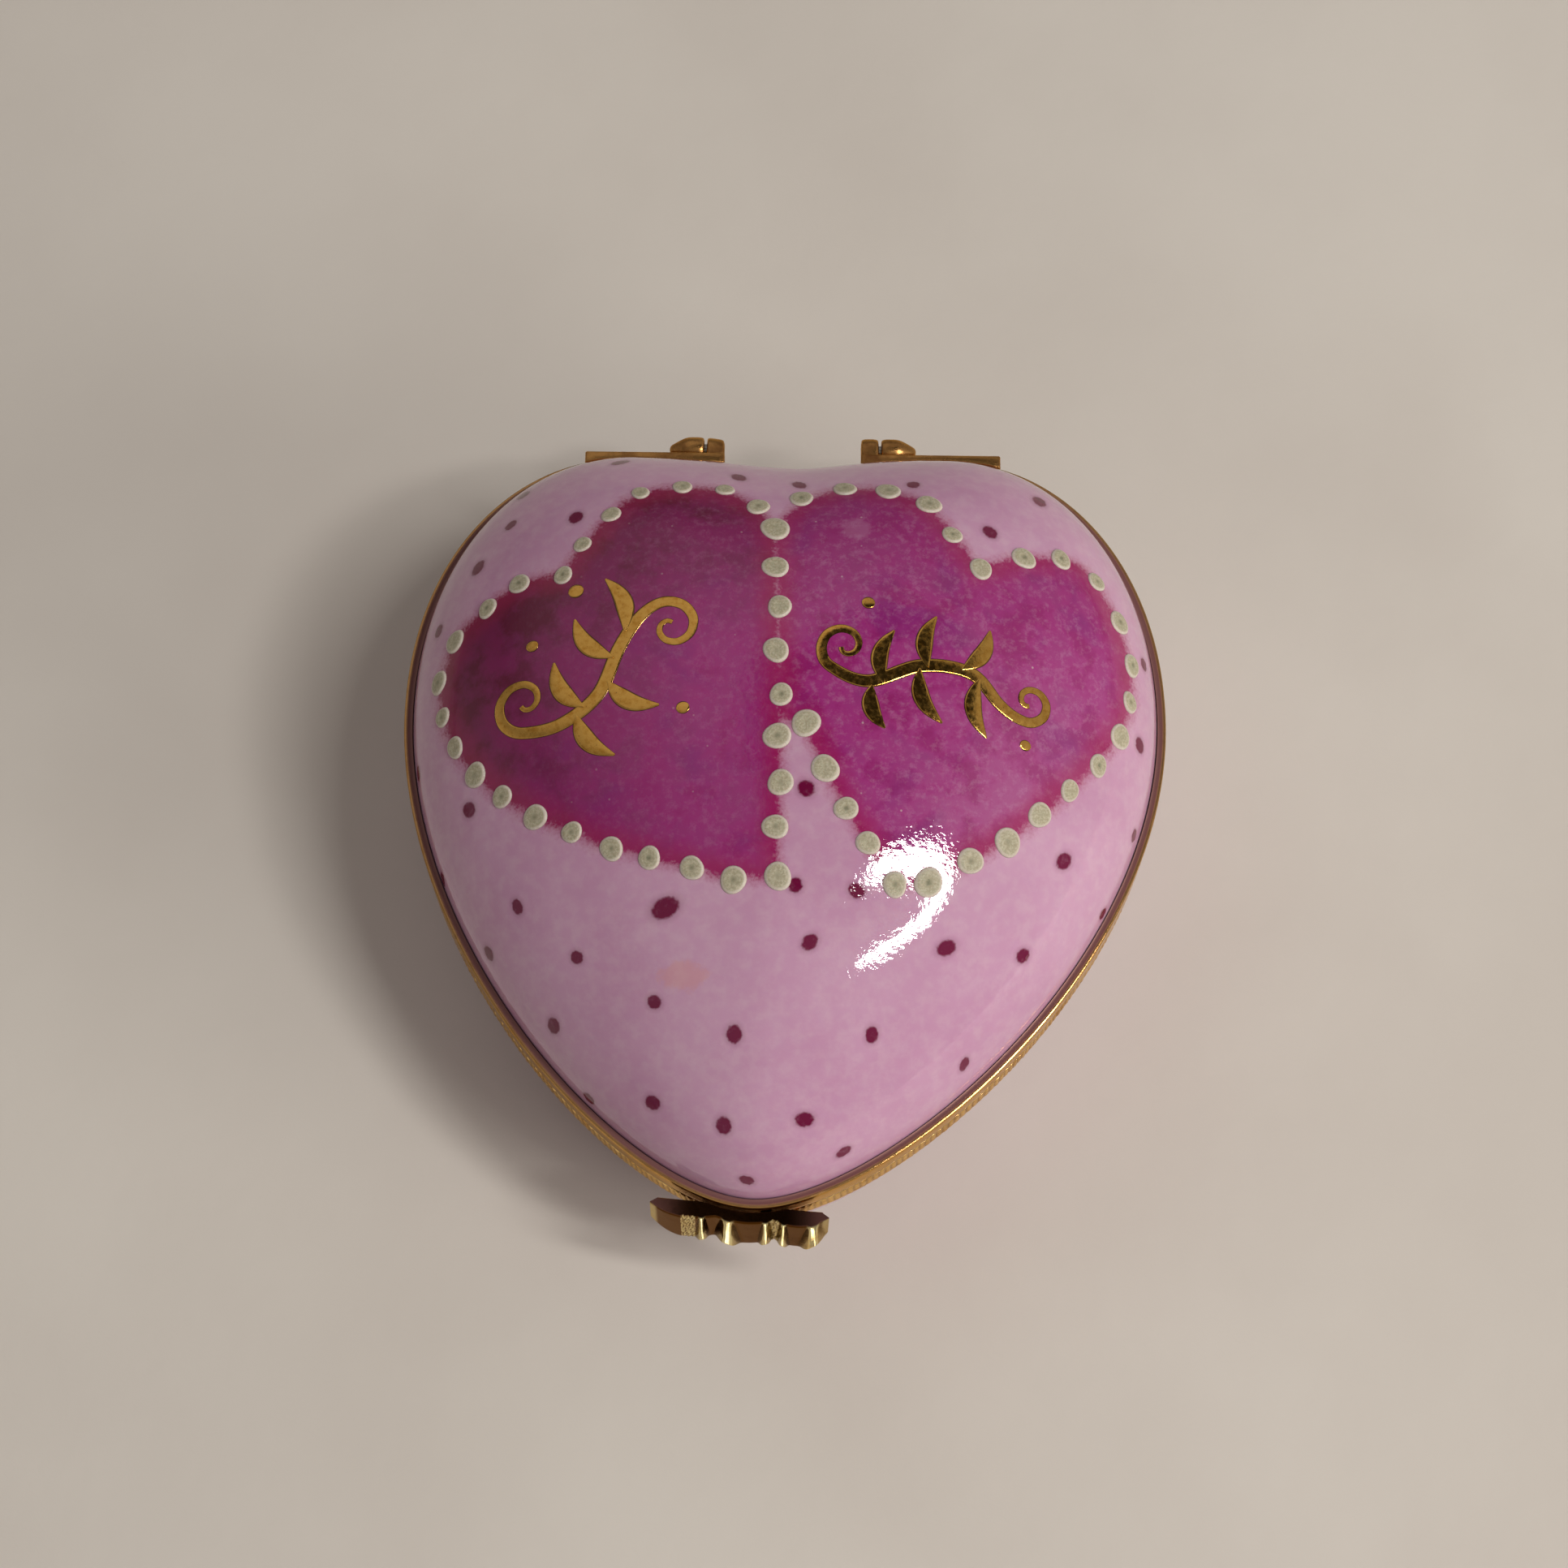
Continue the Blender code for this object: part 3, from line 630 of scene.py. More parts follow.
def build_lid():
    count = RING_POINTS
    outline, normals, _ = heart_frame(count)
    inner = outline - normals * WALL
    start = PARTING_Z + SIDE_HEIGHT
    rings = [flat_ring(outline, level) for level in (LID_RIM, (LID_RIM + start) / 2, start)]
    for share, rise in dome_rings(104):
        rings.append(flat_ring(scaled(outline - normals * DOME_INSET, share), start + DOME_HEIGHT * rise))
    outer_loops = len(rings)
    inner_rings = [flat_ring(inner, LID_RIM), flat_ring(inner, start)]
    for share, rise in dome_rings(26):
        inner_rings.append(flat_ring(scaled(inner, share), start + (DOME_HEIGHT - WALL) * rise))
    points = np.vstack(rings + inner_rings + [[(*DOME_CENTRE, LID_TOP)], [(*DOME_CENTRE, LID_TOP - WALL)]])
    hub = len(points) - 2
    faces = ring_faces(outer_loops, count) + fan_faces((outer_loops - 1) * count, count, hub, True)
    first = outer_loops * count
    faces += [tuple(reversed(f)) for f in ring_faces(len(inner_rings), count, first=first)]
    faces += fan_faces(first + (len(inner_rings) - 1) * count, count, hub + 1, False)
    faces += [(i, first + i, first + j, j) for i, j in neighbours(count)]
    obj = make_piece("lid_porcelain", points, faces, lid_glaze_material(), "lid")
    outside = np.arange(len(points)) < first
    outside[hub] = True
    x, y = points[:, 0], points[:, 1]
    left, right = (distance_to_outline(x, y, panel) for panel in panel_outlines())
    add_values(obj, "panel", np.where(outside, np.minimum(left, right), FAR))
    add_values(obj, "panel_edge", np.where(outside, np.minimum(np.abs(left), np.abs(right)), FAR))
    # Painted shade and light on the hearts: darker towards the left and the back, paler towards the right and
    # the front, as the light falls from the right front
    towards_left = clamp((-6.0 - x) / 14.0) * (1.0 - 0.3 * clamp((2.0 - y) / 6.0))
    towards_back = clamp((y - 6.0) / 12.0)
    painted_shade_left = 0.14 + 0.7 * (towards_left + towards_back)
    add_values(obj, "painted_shade", np.where(left < right, painted_shade_left, 0.25 * towards_back))
    painted_light_right = clamp((x - 2.0) / 12.0) * clamp((9.0 - y) / 13.0)
    add_values(obj, "pale", np.where(left < right, 0.0, painted_light_right))
    add_values(obj, "mottled", np.where(left < right, 0.5 - 0.5 * towards_left, 1.0 - 0.2 * towards_back))
    add_values(obj, "spot", np.where(outside, spot_field(points, lid_spot_frames()), FAR))
    add_values(obj, "inside", np.where(outside, 0.0, 1.0))
    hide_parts("porcelain_lid")


def base_profile(steps):
    """Share and level pairs up the outside of the base, from the resting face."""
    start = PARTING_Z - SIDE_HEIGHT
    profile = [(FOOT_SCALE, 0.0)]
    for turn in quarter(steps):
        share = FOOT_SCALE + (1.0 - FOOT_SCALE) * math.sin(turn) ** (2.0 / FOOT_POWER)
        profile.append((share, start * (1.0 - math.cos(turn) ** (2.0 / FOOT_POWER))))
    return profile + [(1.0, start), (1.0, BASE_RIM)]


def base_spot_frames():
    """Two staggered rows of painted spots round the base, slightly uneven as laid by hand."""
    frames = []
    profile = np.array(base_profile(60))
    per_spot = 20  # outline points from one spot to the next
    for level, count, shift in BASE_SPOT_ROWS:
        share = np.interp(level, profile[:, 1], profile[:, 0])
        outline, normals, _ = heart_frame(count * per_spot)
        for k in range(count):
            i = int((k + shift) * per_spot + RNG.integers(-3, 4)) % len(outline)
            height = level + RNG.uniform(-0.5, 0.5)
            centre = np.append(scaled(outline[i], share), height)
            side = np.array([-normals[i][1], normals[i][0], 0.0])
            upward = np.array([0.0, 0.0, 1.0])
            frames.append((centre, side, upward, RNG.uniform(*SPOT_RADIUS), RNG.uniform(*SPOT_STRETCH)))
    return frames


def build_base():
    count = RING_POINTS
    outline, normals, _ = heart_frame(count)
    inner = outline - normals * WALL
    profile = base_profile(48)
    rings = [flat_ring(scaled(outline, FOOT_SCALE * k / 8), 0.0) for k in range(1, 8)]
    rings += [flat_ring(scaled(outline, share), z) for share, z in profile]
    inner_rings = [flat_ring(scaled(inner, FOOT_SCALE * k / 8), WALL) for k in range(1, 8)]
    for share, z in base_profile(24):
        lifted = WALL + z * (BASE_RIM - WALL) / BASE_RIM
        inner_rings.append(flat_ring(scaled(inner, share), lifted))
    points = np.vstack(rings + inner_rings + [[(*DOME_CENTRE, 0.0)], [(*DOME_CENTRE, WALL)]])
    first = len(rings) * count
    hub = len(points) - 2
    faces = ring_faces(len(rings), count) + fan_faces(0, count, hub, False)
    faces += [tuple(reversed(f)) for f in ring_faces(len(inner_rings), count, first=first)]
    faces += fan_faces(first, count, hub + 1, True)
    rim, inner_rim = first - count, hub - count
    faces += bridge(rim, inner_rim, count)
    obj = make_piece("base_porcelain", points, faces, base_glaze_material(), "base")
    outside = np.arange(len(points)) < first
    foot = points[:, 2] < 0.02
    add_values(obj, "spot", np.where(outside, spot_field(points, base_spot_frames()), FAR))
    add_values(obj, "inside", np.where(outside & ~foot, 0.0, 1.0))
    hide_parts("porcelain_base")


# Decoration on the lid

def build_enamel_dots():
    """Every dot is a low closed drop on the dome: a firm round edge and a slightly sunken centre."""
    sides, steps = 28, 9
    points, faces, centres = [], [], []
    runs = (SHARED_RUN, LEFT_TOP_RUN, LEFT_SIDE_RUN, RIGHT_TOP_RUN, RIGHT_SIDE_RUN, RIGHT_SLANT_RUN)
    laid = [(place, mean) for run, mean in zip(runs, DOT_RADII) for place in run_dots(run)]
    for place, mean in laid:
        place = place + RNG.uniform(-0.18, 0.18, 2)
        radius = mean * RNG.uniform(0.86, 1.14)
        waves = RNG.uniform(0.0, 2 * math.pi, 2)
        angle = np.linspace(0.0, 2 * math.pi, sides, endpoint=False)
        edge = radius * (1.0 + 0.05 * np.cos(2 * angle + waves[0]) + 0.025 * np.cos(3 * angle + waves[1]))
        normal = dome_normal(*place)
        side = np.cross((0.0, 1.0, 0.0), normal)
        side /= np.linalg.norm(side)
        over = np.cross(normal, side)
        first = len(points)
        heights = [(1.0, DOT_ROOT)] + [(1.0 - k / steps, None) for k in range(steps)]
        for share, lift in heights:
            if lift is None:
                lift = DOT_HEIGHT * (1.0 - share**4) ** 0.5 - 0.05 * math.exp(-((share / 0.45) ** 2)) - 0.02
            arm = share * edge
            flat = [place[k] + np.cos(angle) * arm * side[k] + np.sin(angle) * arm * over[k] for k in (0, 1)]
            points.extend(on_dome(*flat, np.full(sides, lift)))
            centres.extend([1.0 - share] * sides)
        faces += ring_faces(len(heights), sides, first=first)
        points.append(on_dome(*place, DOT_HEIGHT - 0.07))
        points.append(on_dome(*place, DOT_ROOT))
        centres.extend([1.0, 0.0])
        faces += fan_faces(first + (len(heights) - 1) * sides, sides, len(points) - 2, True)
        faces += fan_faces(first, sides, len(points) - 1, False)
    obj = make_piece("enamel_dots", np.array(points), faces, enamel_material(), "lid", 60.0)
    add_values(obj, "centre", centres)


def spiral(centre, start_angle, turns, radius, end_radius, count=50):
    """A curl that winds in towards its centre; positive turns run anticlockwise."""
    t = np.linspace(0.0, 1.0, count)
    angle = math.radians(start_angle) + 2 * math.pi * turns * t
    reach = radius + (end_radius - radius) * t
    return np.column_stack([centre[0] + reach * np.cos(angle), centre[1] + reach * np.sin(angle)])


def brush_stroke(path, widest, start=0.3, end=0.3, belly=0.5, count=70):
    """A stroke's centre line with its half widths, thin at the ends and full at the belly."""
    path = evenly(np.asarray(path, dtype=float), count)
    t = np.linspace(0.0, 1.0, len(path))
    swell = np.where(t < belly, t / belly, (1 - t) / (1 - belly))
    ends = np.where(t < belly, start, end)
    return path, widest * (ends + (1 - ends) * np.sin(0.5 * math.pi * swell))


def leaf(root, tip, widest, bend=0.0):
    """A pointed petal stroke from root to tip."""
    root, tip = np.array(root, dtype=float), np.array(tip, dtype=float)
    along = tip - root
    t = np.linspace(0.0, 1.0, 40)[:, None]
    path = root + along * t + np.array([-along[1], along[0]]) * bend * np.sin(math.pi * t)
    return brush_stroke(path, widest, 0.12, 0.12, 0.45)


def scroll(first_curl, stem, last_curl):
    """One long stroke: a curl, a waving stem and a second curl."""
    anchors = list(spiral(*first_curl, count=10)[::-1]) + list(stem) + list(spiral(*last_curl, count=10))
    return brush_stroke(smooth_run(anchors, 300), 0.48, 0.34, 0.34, 0.5, 170)


def leaves(places, widest):
    """Leaves from roots, tips and bends."""
    return [leaf(root, tip, widest, bend) for root, tip, bend in places]


def upright_sprig():
    """A scrolling stem with a curl at each end, five leaves and three buds."""
    stem = [(-3.3, -2.5), (-0.6, -1.4), (1.4, 1.3), (3.1, 3.0)]
    strokes = [scroll(((-5.2, -0.2), 255, -1.1, 2.0, 0.3), stem, ((4.9, 1.8), 98, -1.1, 1.85, 0.3))]
    places = (
        ((-2.2, -2.2), (-0.4, -5.6), -0.16),
        ((-1.6, -1.9), (-2.8, 1.7), 0.16),
        ((0.2, -0.7), (3.0, -3.2), -0.16),
        ((0.9, 0.8), (-0.9, 4.2), 0.16),
        ((2.0, 2.3), (1.6, 6.4), -0.14),
    )
    return strokes + leaves(places, 0.62), ((-0.4, 6.2, 0.5), (4.4, -3.8, 0.42), (-3.9, 3.4, 0.4))


def garland():
    """A low waving stem with a curl at each end, six leaves and two buds."""
    stem = [(-3.9, -1.4), (-0.8, 0.5), (2.3, 0.9), (4.4, -0.5)]
    strokes = [scroll(((-5.8, 0.6), 250, -1.1, 1.7, 0.28), stem, ((6.3, 0.3), 240, 1.1, 1.5, 0.28))]
    places = (
        ((-3.6, -1.6), (-2.2, -4.2), -0.16),
        ((-2.9, -1.3), (-3.0, 2.4), 0.16),
        ((-0.9, 0.3), (1.2, -2.9), -0.16),
        ((-0.4, 0.5), (-0.6, 4.1), 0.14),
        ((1.7, 1.0), (2.9, 4.2), -0.14),
        ((2.9, 0.7), (4.1, -3.0), -0.16),
    )
    return strokes + leaves(places, 0.58), ((-5.0, 3.9, 0.42), (6.6, -2.6, 0.36))


def placed(path, centre, turn):
    c, s = math.cos(math.radians(turn)), math.sin(math.radians(turn))
    return np.column_stack([path[:, 0] * c - path[:, 1] * s, path[:, 0] * s + path[:, 1] * c]) + centre


def gilt_ribbon(path, half_widths, lift, points, faces, edges):
    """Adds one closed low ribbon that follows the dome: a rounded top over a flat underside."""
    along = np.gradient(path, axis=0)
    along /= np.hypot(*along.T)[:, None]
    across = np.column_stack([-along[:, 1], along[:, 0]])
    section = ((-1.0, -0.03), (-0.97, lift * 0.6), (-0.7, lift), (0.0, lift * 1.15),
               (0.7, lift), (0.97, lift * 0.6), (1.0, -0.03))
    first = len(points)
    for k, centre in enumerate(path):
        for share, height in section:
            spot = centre + across[k] * half_widths[k] * share
            points.append(on_dome(spot[0], spot[1], height))
            edges.append(abs(share))
    width = len(section)
    for k in range(len(path) - 1):
        low, high = first + k * width, first + (k + 1) * width
        faces.extend((low + i, high + i, high + j, low + j) for i, j in neighbours(width))
    faces.append(tuple(first + i for i in range(width)))
    last = first + (len(path) - 1) * width
    faces.append(tuple(last + i for i in reversed(range(width))))


def build_gilding():
    points, faces, edges = [], [], []
    sprigs = ((upright_sprig(), (-11.6, 4.2), 14.0), (garland(), (9.3, 4.4), -12.0))
    for (strokes, buds), centre, turn in sprigs:
        centre = turn_heart(centre)
        for k, (path, widths) in enumerate(strokes):
            gilt_ribbon(placed(path, centre, turn), widths, 0.030 + 0.002 * k, points, faces, edges)
        for x, y, radius in buds:
            t = np.linspace(-1.0, 1.0, 25)
            bud = np.column_stack([x + radius * t, np.full(25, y)])
            widths = radius * np.sqrt(clamp(1.0 - (0.995 * t) ** 2))
            gilt_ribbon(placed(bud, centre, turn), widths, 0.04, points, faces, edges)
    obj = make_piece("gilt_sprigs", np.array(points), faces, gilt_material(), "lid", 70.0)
    add_values(obj, "edge", edges)


# Brass bezels

CHASING_TICKS = 360
CHASING_DEPTH = 0.055


def wavy(length, total, cycles, seed):
    """Smooth random wave round the outline that joins up with itself."""
    rng = np.random.default_rng(seed)
    value = np.zeros_like(length)
    for cycle in cycles:
        phase = rng.uniform(0, 2 * math.pi)
        value += np.sin(2 * math.pi * cycle * length / total + phase) * rng.uniform(0.5, 1.0)
    return value / len(cycles)


def band_section(near, far, side):
    """Section of a bezel: offset, level, how far the chasing reaches it, and the share of painted mauve-brown
    reflection and shade beside the glaze.
    """
    out, soft = BEZEL_OUT, 0.12
    face = [(out, near + (far - near) * share, 1.0, 0.0) for share in (0.12, 0.27, 0.42, 0.58, 0.73, 0.88)]
    tucked = 0.04 - DOME_INSET
    inner_edge = near + side * 0.5
    # The inner side by the glaze, painted mauve brown as a reflection of the glaze and its shade
    brown = [
        (0.14, far - side * 0.03),
        (0.0, far - side * 0.09),
        (tucked, far - side * 0.03),
        (tucked, far - side * 0.3),
        (0.04, far - side * 0.35),
        (0.04, inner_edge),
    ]
    return (
        [(out - soft, near, 0.0, 0.0), (out - 0.03, near + side * 0.05, 0.3, 0.0)]
        + face
        + [(out - 0.03, far - side * 0.05, 0.3, 0.0), (out - soft, far, 0.0, 0.3)]
        + [(offset, level, 0.0, 1.0) for offset, level in brown]
        + [(-2.1, inner_edge, 0.0, 0.0), (-2.1, near, 0.0, 0.0)]
    )


def build_band(name, node, near, far, body, chased):
    side = 1.0 if far > near else -1.0
    count = 2304 if chased else 720
    outline, normals, length = heart_frame(count)
    total = length[-1] + length[1]
    section = band_section(near, far, side)
    drift = wavy(length, total, (3, 7, 11, 17), 5)
    rings, patina_and_shade, painted_reflection = [], [], []
    for offset, level, reach, brown in section:
        painted_reflection.append(np.full(count, brown))
        push = np.zeros(count)
        if chased:
            slant = 0.16 * (level - near)
            phase = CHASING_TICKS * length / total + 1.6 * drift + slant
            ticks = 0.5 + 0.5 * np.cos(2 * math.pi * phase)
            depth = CHASING_DEPTH * (1.0 + 0.55 * wavy(length + 3.1 * level, total, (41, 67, 97, 151), 8))
            groove = clamp(ticks) ** 3
            lumps = 0.02 * wavy(length + 1.7 * level, total, (89, 133, 177, 231), 9)
            push = reach * (lumps - depth * groove)
            # Chased grooves: patina and painted shade darken them
            patina_and_shade.append(np.where(reach > 0.5, groove * 0.55, 0.0))
        else:
            push = reach * 0.012 * wavy(length, total, (5, 9, 14, 23), 6)
            patina_and_shade.append(np.zeros(count))
        rings.append(flat_ring(outline + normals * (offset + push)[:, None], level))
    if side < 0:
        rings.reverse()
        patina_and_shade.reverse()
        painted_reflection.reverse()
    points = np.vstack(rings)
    faces = ring_faces(len(rings), count, closed=True)
    light = BRASS_LIGHT if chased else srgb(214, 166, 100)
    material = brass_material(name, light, BRASS_DARK, 0.16 if chased else 0.12, 0.008)
    obj = make_piece(name, points, faces, material, body, 50.0)
    add_values(obj, "patina_and_shade", np.concatenate(patina_and_shade))
    add_values(obj, "painted_reflection", np.concatenate(painted_reflection))
    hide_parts(node)


# Clasp

CLASP_PLACE = Matrix.Translation((-2.9, -27.97, 0.0)) @ Matrix.Rotation(math.radians(-4.6), 4, "Z")
CLASP_HALF_WIDTH = 5.7
CLASP_DEPTH = 0.9
CLASP_TOP = PARTING_Z + 1.2
CLASP_DROP = 4.4
CLASP_LOBES = (-5.7, -1.5, 2.2, 5.7)  # edges of the three lobes
CLASP_RIBS = (  # place, half width and height of each rib
    (-2.35, 0.17, 0.16), (-0.7, 0.33, 0.26), (1.72, 0.18, 0.18), (2.85, 0.16, 0.16), (4.75, 0.32, 0.24),
)
CLASP_ROUGH = ((-3.7, -2.75), (2.0, 2.6))  # edges of the roughened strips
BEAD_CLEARANCE = 0.34


def lobe_share(u):
    """How full each lobe is at u: 0 at its edges, 1 in its middle."""
    value = np.zeros_like(u)
    for left, right in zip(CLASP_LOBES, CLASP_LOBES[1:]):
        here = (u >= left) & (u <= right)
        value[here] = np.sin(math.pi * (u[here] - left) / (right - left))
    return value


def one_rib(u, rise, place, half):
    """Share of a cast rib at u: narrow at the top and spreading towards the lower edge."""
    spread = half * (1.0 + 1.1 * (1 - rise))
    return np.exp(-np.abs((u - place) / spread) ** 4)


def rib_share(u, rise):
    """Share of the fullest rib at u."""
    return np.maximum.reduce([one_rib(u, rise, place, half) for place, half, _ in CLASP_RIBS])


def clasp_front(u, rise):
    """Forward reach of the front wall: lobes, cast ribs and chased strips, flaring towards the lower edge."""
    forward = 0.26 * lobe_share(u) - 0.5 * (np.abs(u) / CLASP_HALF_WIDTH) ** 5 + 0.3 * (1 - rise)
    for place, half, height in CLASP_RIBS:
        forward += height * (0.5 + 0.9 * (1 - rise)) * one_rib(u, rise, place, half)
    for left, right in CLASP_ROUGH:
        inside = clamp((u - left) / 0.1) * clamp((right - u) / 0.1)
        grit = np.sin(u * 31.0 + 4.0 * np.sin(rise * 19.0)) * np.cos(rise * 47.0 + u * 9)
        forward -= inside * (0.05 + 0.05 * grit)
    return forward


def bezel_back(x, extra):
    """Y of the base bezel's outer face at x near the tip, moved out by a clearance."""
    outline, normals, _ = heart_frame(2304)
    ring = outline + normals * (BEZEL_OUT + extra)
    low = ring[ring[:, 1] < -10.0]
    low = low[np.argsort(low[:, 0])]
    return np.interp(x, low[:, 0], low[:, 1])


def build_clasp():
    across, levels = 220, 30
    u_front = np.linspace(-CLASP_HALF_WIDTH, CLASP_HALF_WIDTH, across)
    u_back = np.linspace(0.92 * CLASP_HALF_WIDTH, -0.92 * CLASP_HALF_WIDTH, across // 2)
    rings, rough, painted_reflection, flare = [], [], [], []
    turn = CLASP_PLACE.to_3x3()
    shift = np.array(CLASP_PLACE.translation)
    for k in range(levels + 1):
        rise = k / levels
        soft = 0.07 * (max(0.0, abs(2 * rise - 1) - 0.9) / 0.1) ** 2
        front_v = clasp_front(u_front, rise) - soft
        front = np.column_stack([u_front, -front_v, np.zeros(across)])
        back = np.column_stack([u_back, np.full(len(u_back), CLASP_DEPTH - soft), np.zeros(len(u_back))])
        ring = np.vstack([front, back])
        drop = CLASP_DROP + 0.6 * lobe_share(ring[:, 0]) - 1.5 * (np.abs(ring[:, 0]) / CLASP_HALF_WIDTH) ** 6
        ring[:, 2] = CLASP_TOP - drop * (1 - rise)
        ring = ring @ np.array(turn).T + shift
        wall = bezel_back(ring[across:, 0], 0.1)
        near_bead = (np.abs(ring[across:, 0] - OUTLINE_TIP[0]) < 0.6) & (ring[across:, 2] < PARTING_Z - 0.45)
        ring[across:, 1] = np.minimum(ring[across:, 1], wall - np.where(near_bead, BEAD_CLEARANCE, 0.0))
        rings.append(ring)
        strip = sum(((u_front > a) & (u_front < b)).astype(float) for a, b in CLASP_ROUGH)
        ribs = rib_share(u_front, rise)
        facet = clamp((np.abs(u_front) - 5.2) / 0.2)
        grains = np.sin(26.0 * u_front + 3.0 * math.sin(40.0 * rise)) * np.sin(63.0 * rise + 7.0 * u_front)
        speckle = strip * np.where(grains > -0.1, 0.85, 0.15)
        # Painted shade: the smooth front wall is darkened brown, and the top and back fully, where the real
        # wall reflects shaded floor; ribs, speckled strips and the end facets stay lighter
        wall_shade = (1.0 - ribs) * (1.0 - speckle) * (1.0 - 0.55 * facet)
        wall_shade = np.where(k == levels, 1.0, wall_shade)
        rough.append(np.concatenate([wall_shade, np.ones(len(u_back))]))
        towards_end = np.abs(ring[:, 0] - CLASP_PLACE.translation.x) / CLASP_HALF_WIDTH
        ends = clamp((towards_end - 0.5) / 0.4)
        # Painted reflection: the far ends of the clasp's top take a mauve-brown tone
        painted_reflection.append(np.where(k == levels, 0.55 * ends, 0.0))
        flare.append(np.concatenate([(1.0 - rise) * ribs, np.zeros(len(u_back))]))
    count = len(rings[0])
    points = np.vstack(rings)
    faces = ring_faces(len(rings), count)
    faces += strip_cap(0, across, len(u_back), False)
    faces += strip_cap((len(rings) - 1) * count, across, len(u_back), True)
    # Paler, brighter brass than the bands': a painted highlight for the bright streaks on the ribs
    light, dark = srgb(255, 240, 180), srgb(244, 204, 130)
    material = brass_material("clasp_brass", light, dark, 0.12, 0.01, CLASP_SHADE_AND_GRIME, CLASP_HIGHLIGHT_TINT)
    obj = make_piece("clasp_scallop", points, faces, material, "lid", 50.0)
    add_values(obj, "patina_and_shade", np.concatenate(rough))
    add_values(obj, "painted_reflection", np.concatenate(painted_reflection))
    add_values(obj, "flare", np.concatenate(flare))
    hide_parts("clasp_ornament")


def strip_cap(start, across, behind, upward):
    """Joins the front and back edges of one level of the clasp into a flat face."""
    faces = []
    for k in range(across - 1):
        share_a, share_b = k / (across - 1), (k + 1) / (across - 1)
        a = start + across + round((1 - share_a) * (behind - 1))
        b = start + across + round((1 - share_b) * (behind - 1))
        face = (start + k, start + k + 1, b) if a == b else (start + k, start + k + 1, b, a)
        faces.append(face if upward else tuple(reversed(face)))
    return faces


def build_clasp_seat():
    """The soldered seat between the ornament's top and the lid bezel."""
    bm = bmesh.new()
    bmesh.ops.create_cube(bm, size=1.0)
    front = OUTLINE_TIP[1] - BEZEL_OUT
    size = Vector((3.6, 0.34, 0.5))
    middle = Vector((OUTLINE_TIP[0], front - 0.07 - size.y / 2, CLASP_TOP - size.z / 2 - 0.06))
    bmesh.ops.transform(bm, matrix=Matrix.Translation(middle) @ Matrix.Diagonal((*size, 1.0)), verts=bm.verts)
    bmesh.ops.bevel(bm, geom=bm.edges[:], offset=0.18, segments=4, affect="EDGES")
    points = [tuple(v.co) for v in bm.verts]
    faces = [tuple(v.index for v in f.verts) for f in bm.faces]
    bm.free()
    material = brass_material("solder_seat", BRASS_LIGHT, BRASS_DARK, 0.3, 0.09, CLASP_SHADE_AND_GRIME)
    obj = make_piece("clasp_seat", points, faces, material, "lid")
    # Painted shade and patina: the seat is darkened as it sits under the bezel's edge
    add_values(obj, "patina_and_shade", np.full(len(points), 0.7))


# Small parts whose shape comes from the CAD nodes

SHARP_ANGLE = math.radians(38.0)


def add_modifier(piece, kind, **settings):
    modifier = piece.modifiers.new(kind.lower(), kind)
    for name, value in settings.items():
        setattr(modifier, name, value)


def finish_small_parts():
    """Hinge parts, cement and catch: the CAD shapes with worn or softened edges and their own finish."""
    # A darker copy of the bands' brass: painted shade for the hinge at the back of the box
    brass = brass_material("hinge_brass", srgb(196, 146, 86), srgb(132, 88, 52), 0.24, 0.02)
    finishes = {"pin": (steel_material(), "pin_steel"), "bedding": (cement_material(), "cement")}
    for name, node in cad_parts.items():
        if node.hide_render:
            continue
        finish, slot = next((f for part, f in finishes.items() if part in name), (brass, "brass"))
        piece = bpy.data.objects.new(name + "_finished", node.data.copy())
        bpy.context.scene.collection.objects.link(piece)
        piece.data.materials.clear()
        piece.data.materials.append(finish)
        add_modifier(piece, "WELD", merge_threshold=0.001 * MM)
        piece.data.shade_smooth()
        if "knuckle" in name:
            add_modifier(piece, "REMESH", mode="VOXEL", voxel_size=0.1 * MM, use_smooth_shade=True)
            add_modifier(piece, "SMOOTH", factor=0.5, iterations=60)
        else:
            piece.data.set_sharp_from_angle(angle=SHARP_ANGLE)
        if "strip" in name or "hinge_pin" in name:
            limit = {"limit_method": "ANGLE", "angle_limit": SHARP_ANGLE}
            add_modifier(piece, "BEVEL", width=0.07 * MM, segments=4, **limit)
        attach(piece, "lid" if name.startswith("lid") else "base")
        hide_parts(name)


# Stage, light and camera

def stage_floor():
    bpy.ops.mesh.primitive_plane_add(size=4.0, location=(0.0, 0.0, -0.02 * MM))
    floor = bpy.context.object
    floor.name = "floor"
    g = Graph("pale_paper")
    colour = g.mix(g.step(g.noise(40.0, 4.0, 0.5), 0.3, 0.7), srgb(212, 206, 198), srgb(204, 197, 189))
    g.set(Base_Color=colour, Roughness=0.75, Normal=g.bump(g.noise(1.5, 4.0, 0.6), 0.1, 0.25))
    floor.data.materials.append(g.material)


WARM = (1.0, 0.94, 0.86)


def area_light(name, place, target, size, power):
    data = bpy.data.lights.new(name, "AREA")
    data.shape = "RECTANGLE"
    data.size, data.size_y = size
    data.energy = power
    data.color = WARM
    lamp = bpy.data.objects.new(name, data)
    lamp.location = place
    lamp.rotation_euler = (Vector(target) - Vector(place)).to_track_quat("-Z", "Y").to_euler()
    bpy.context.scene.collection.objects.link(lamp)
    return lamp


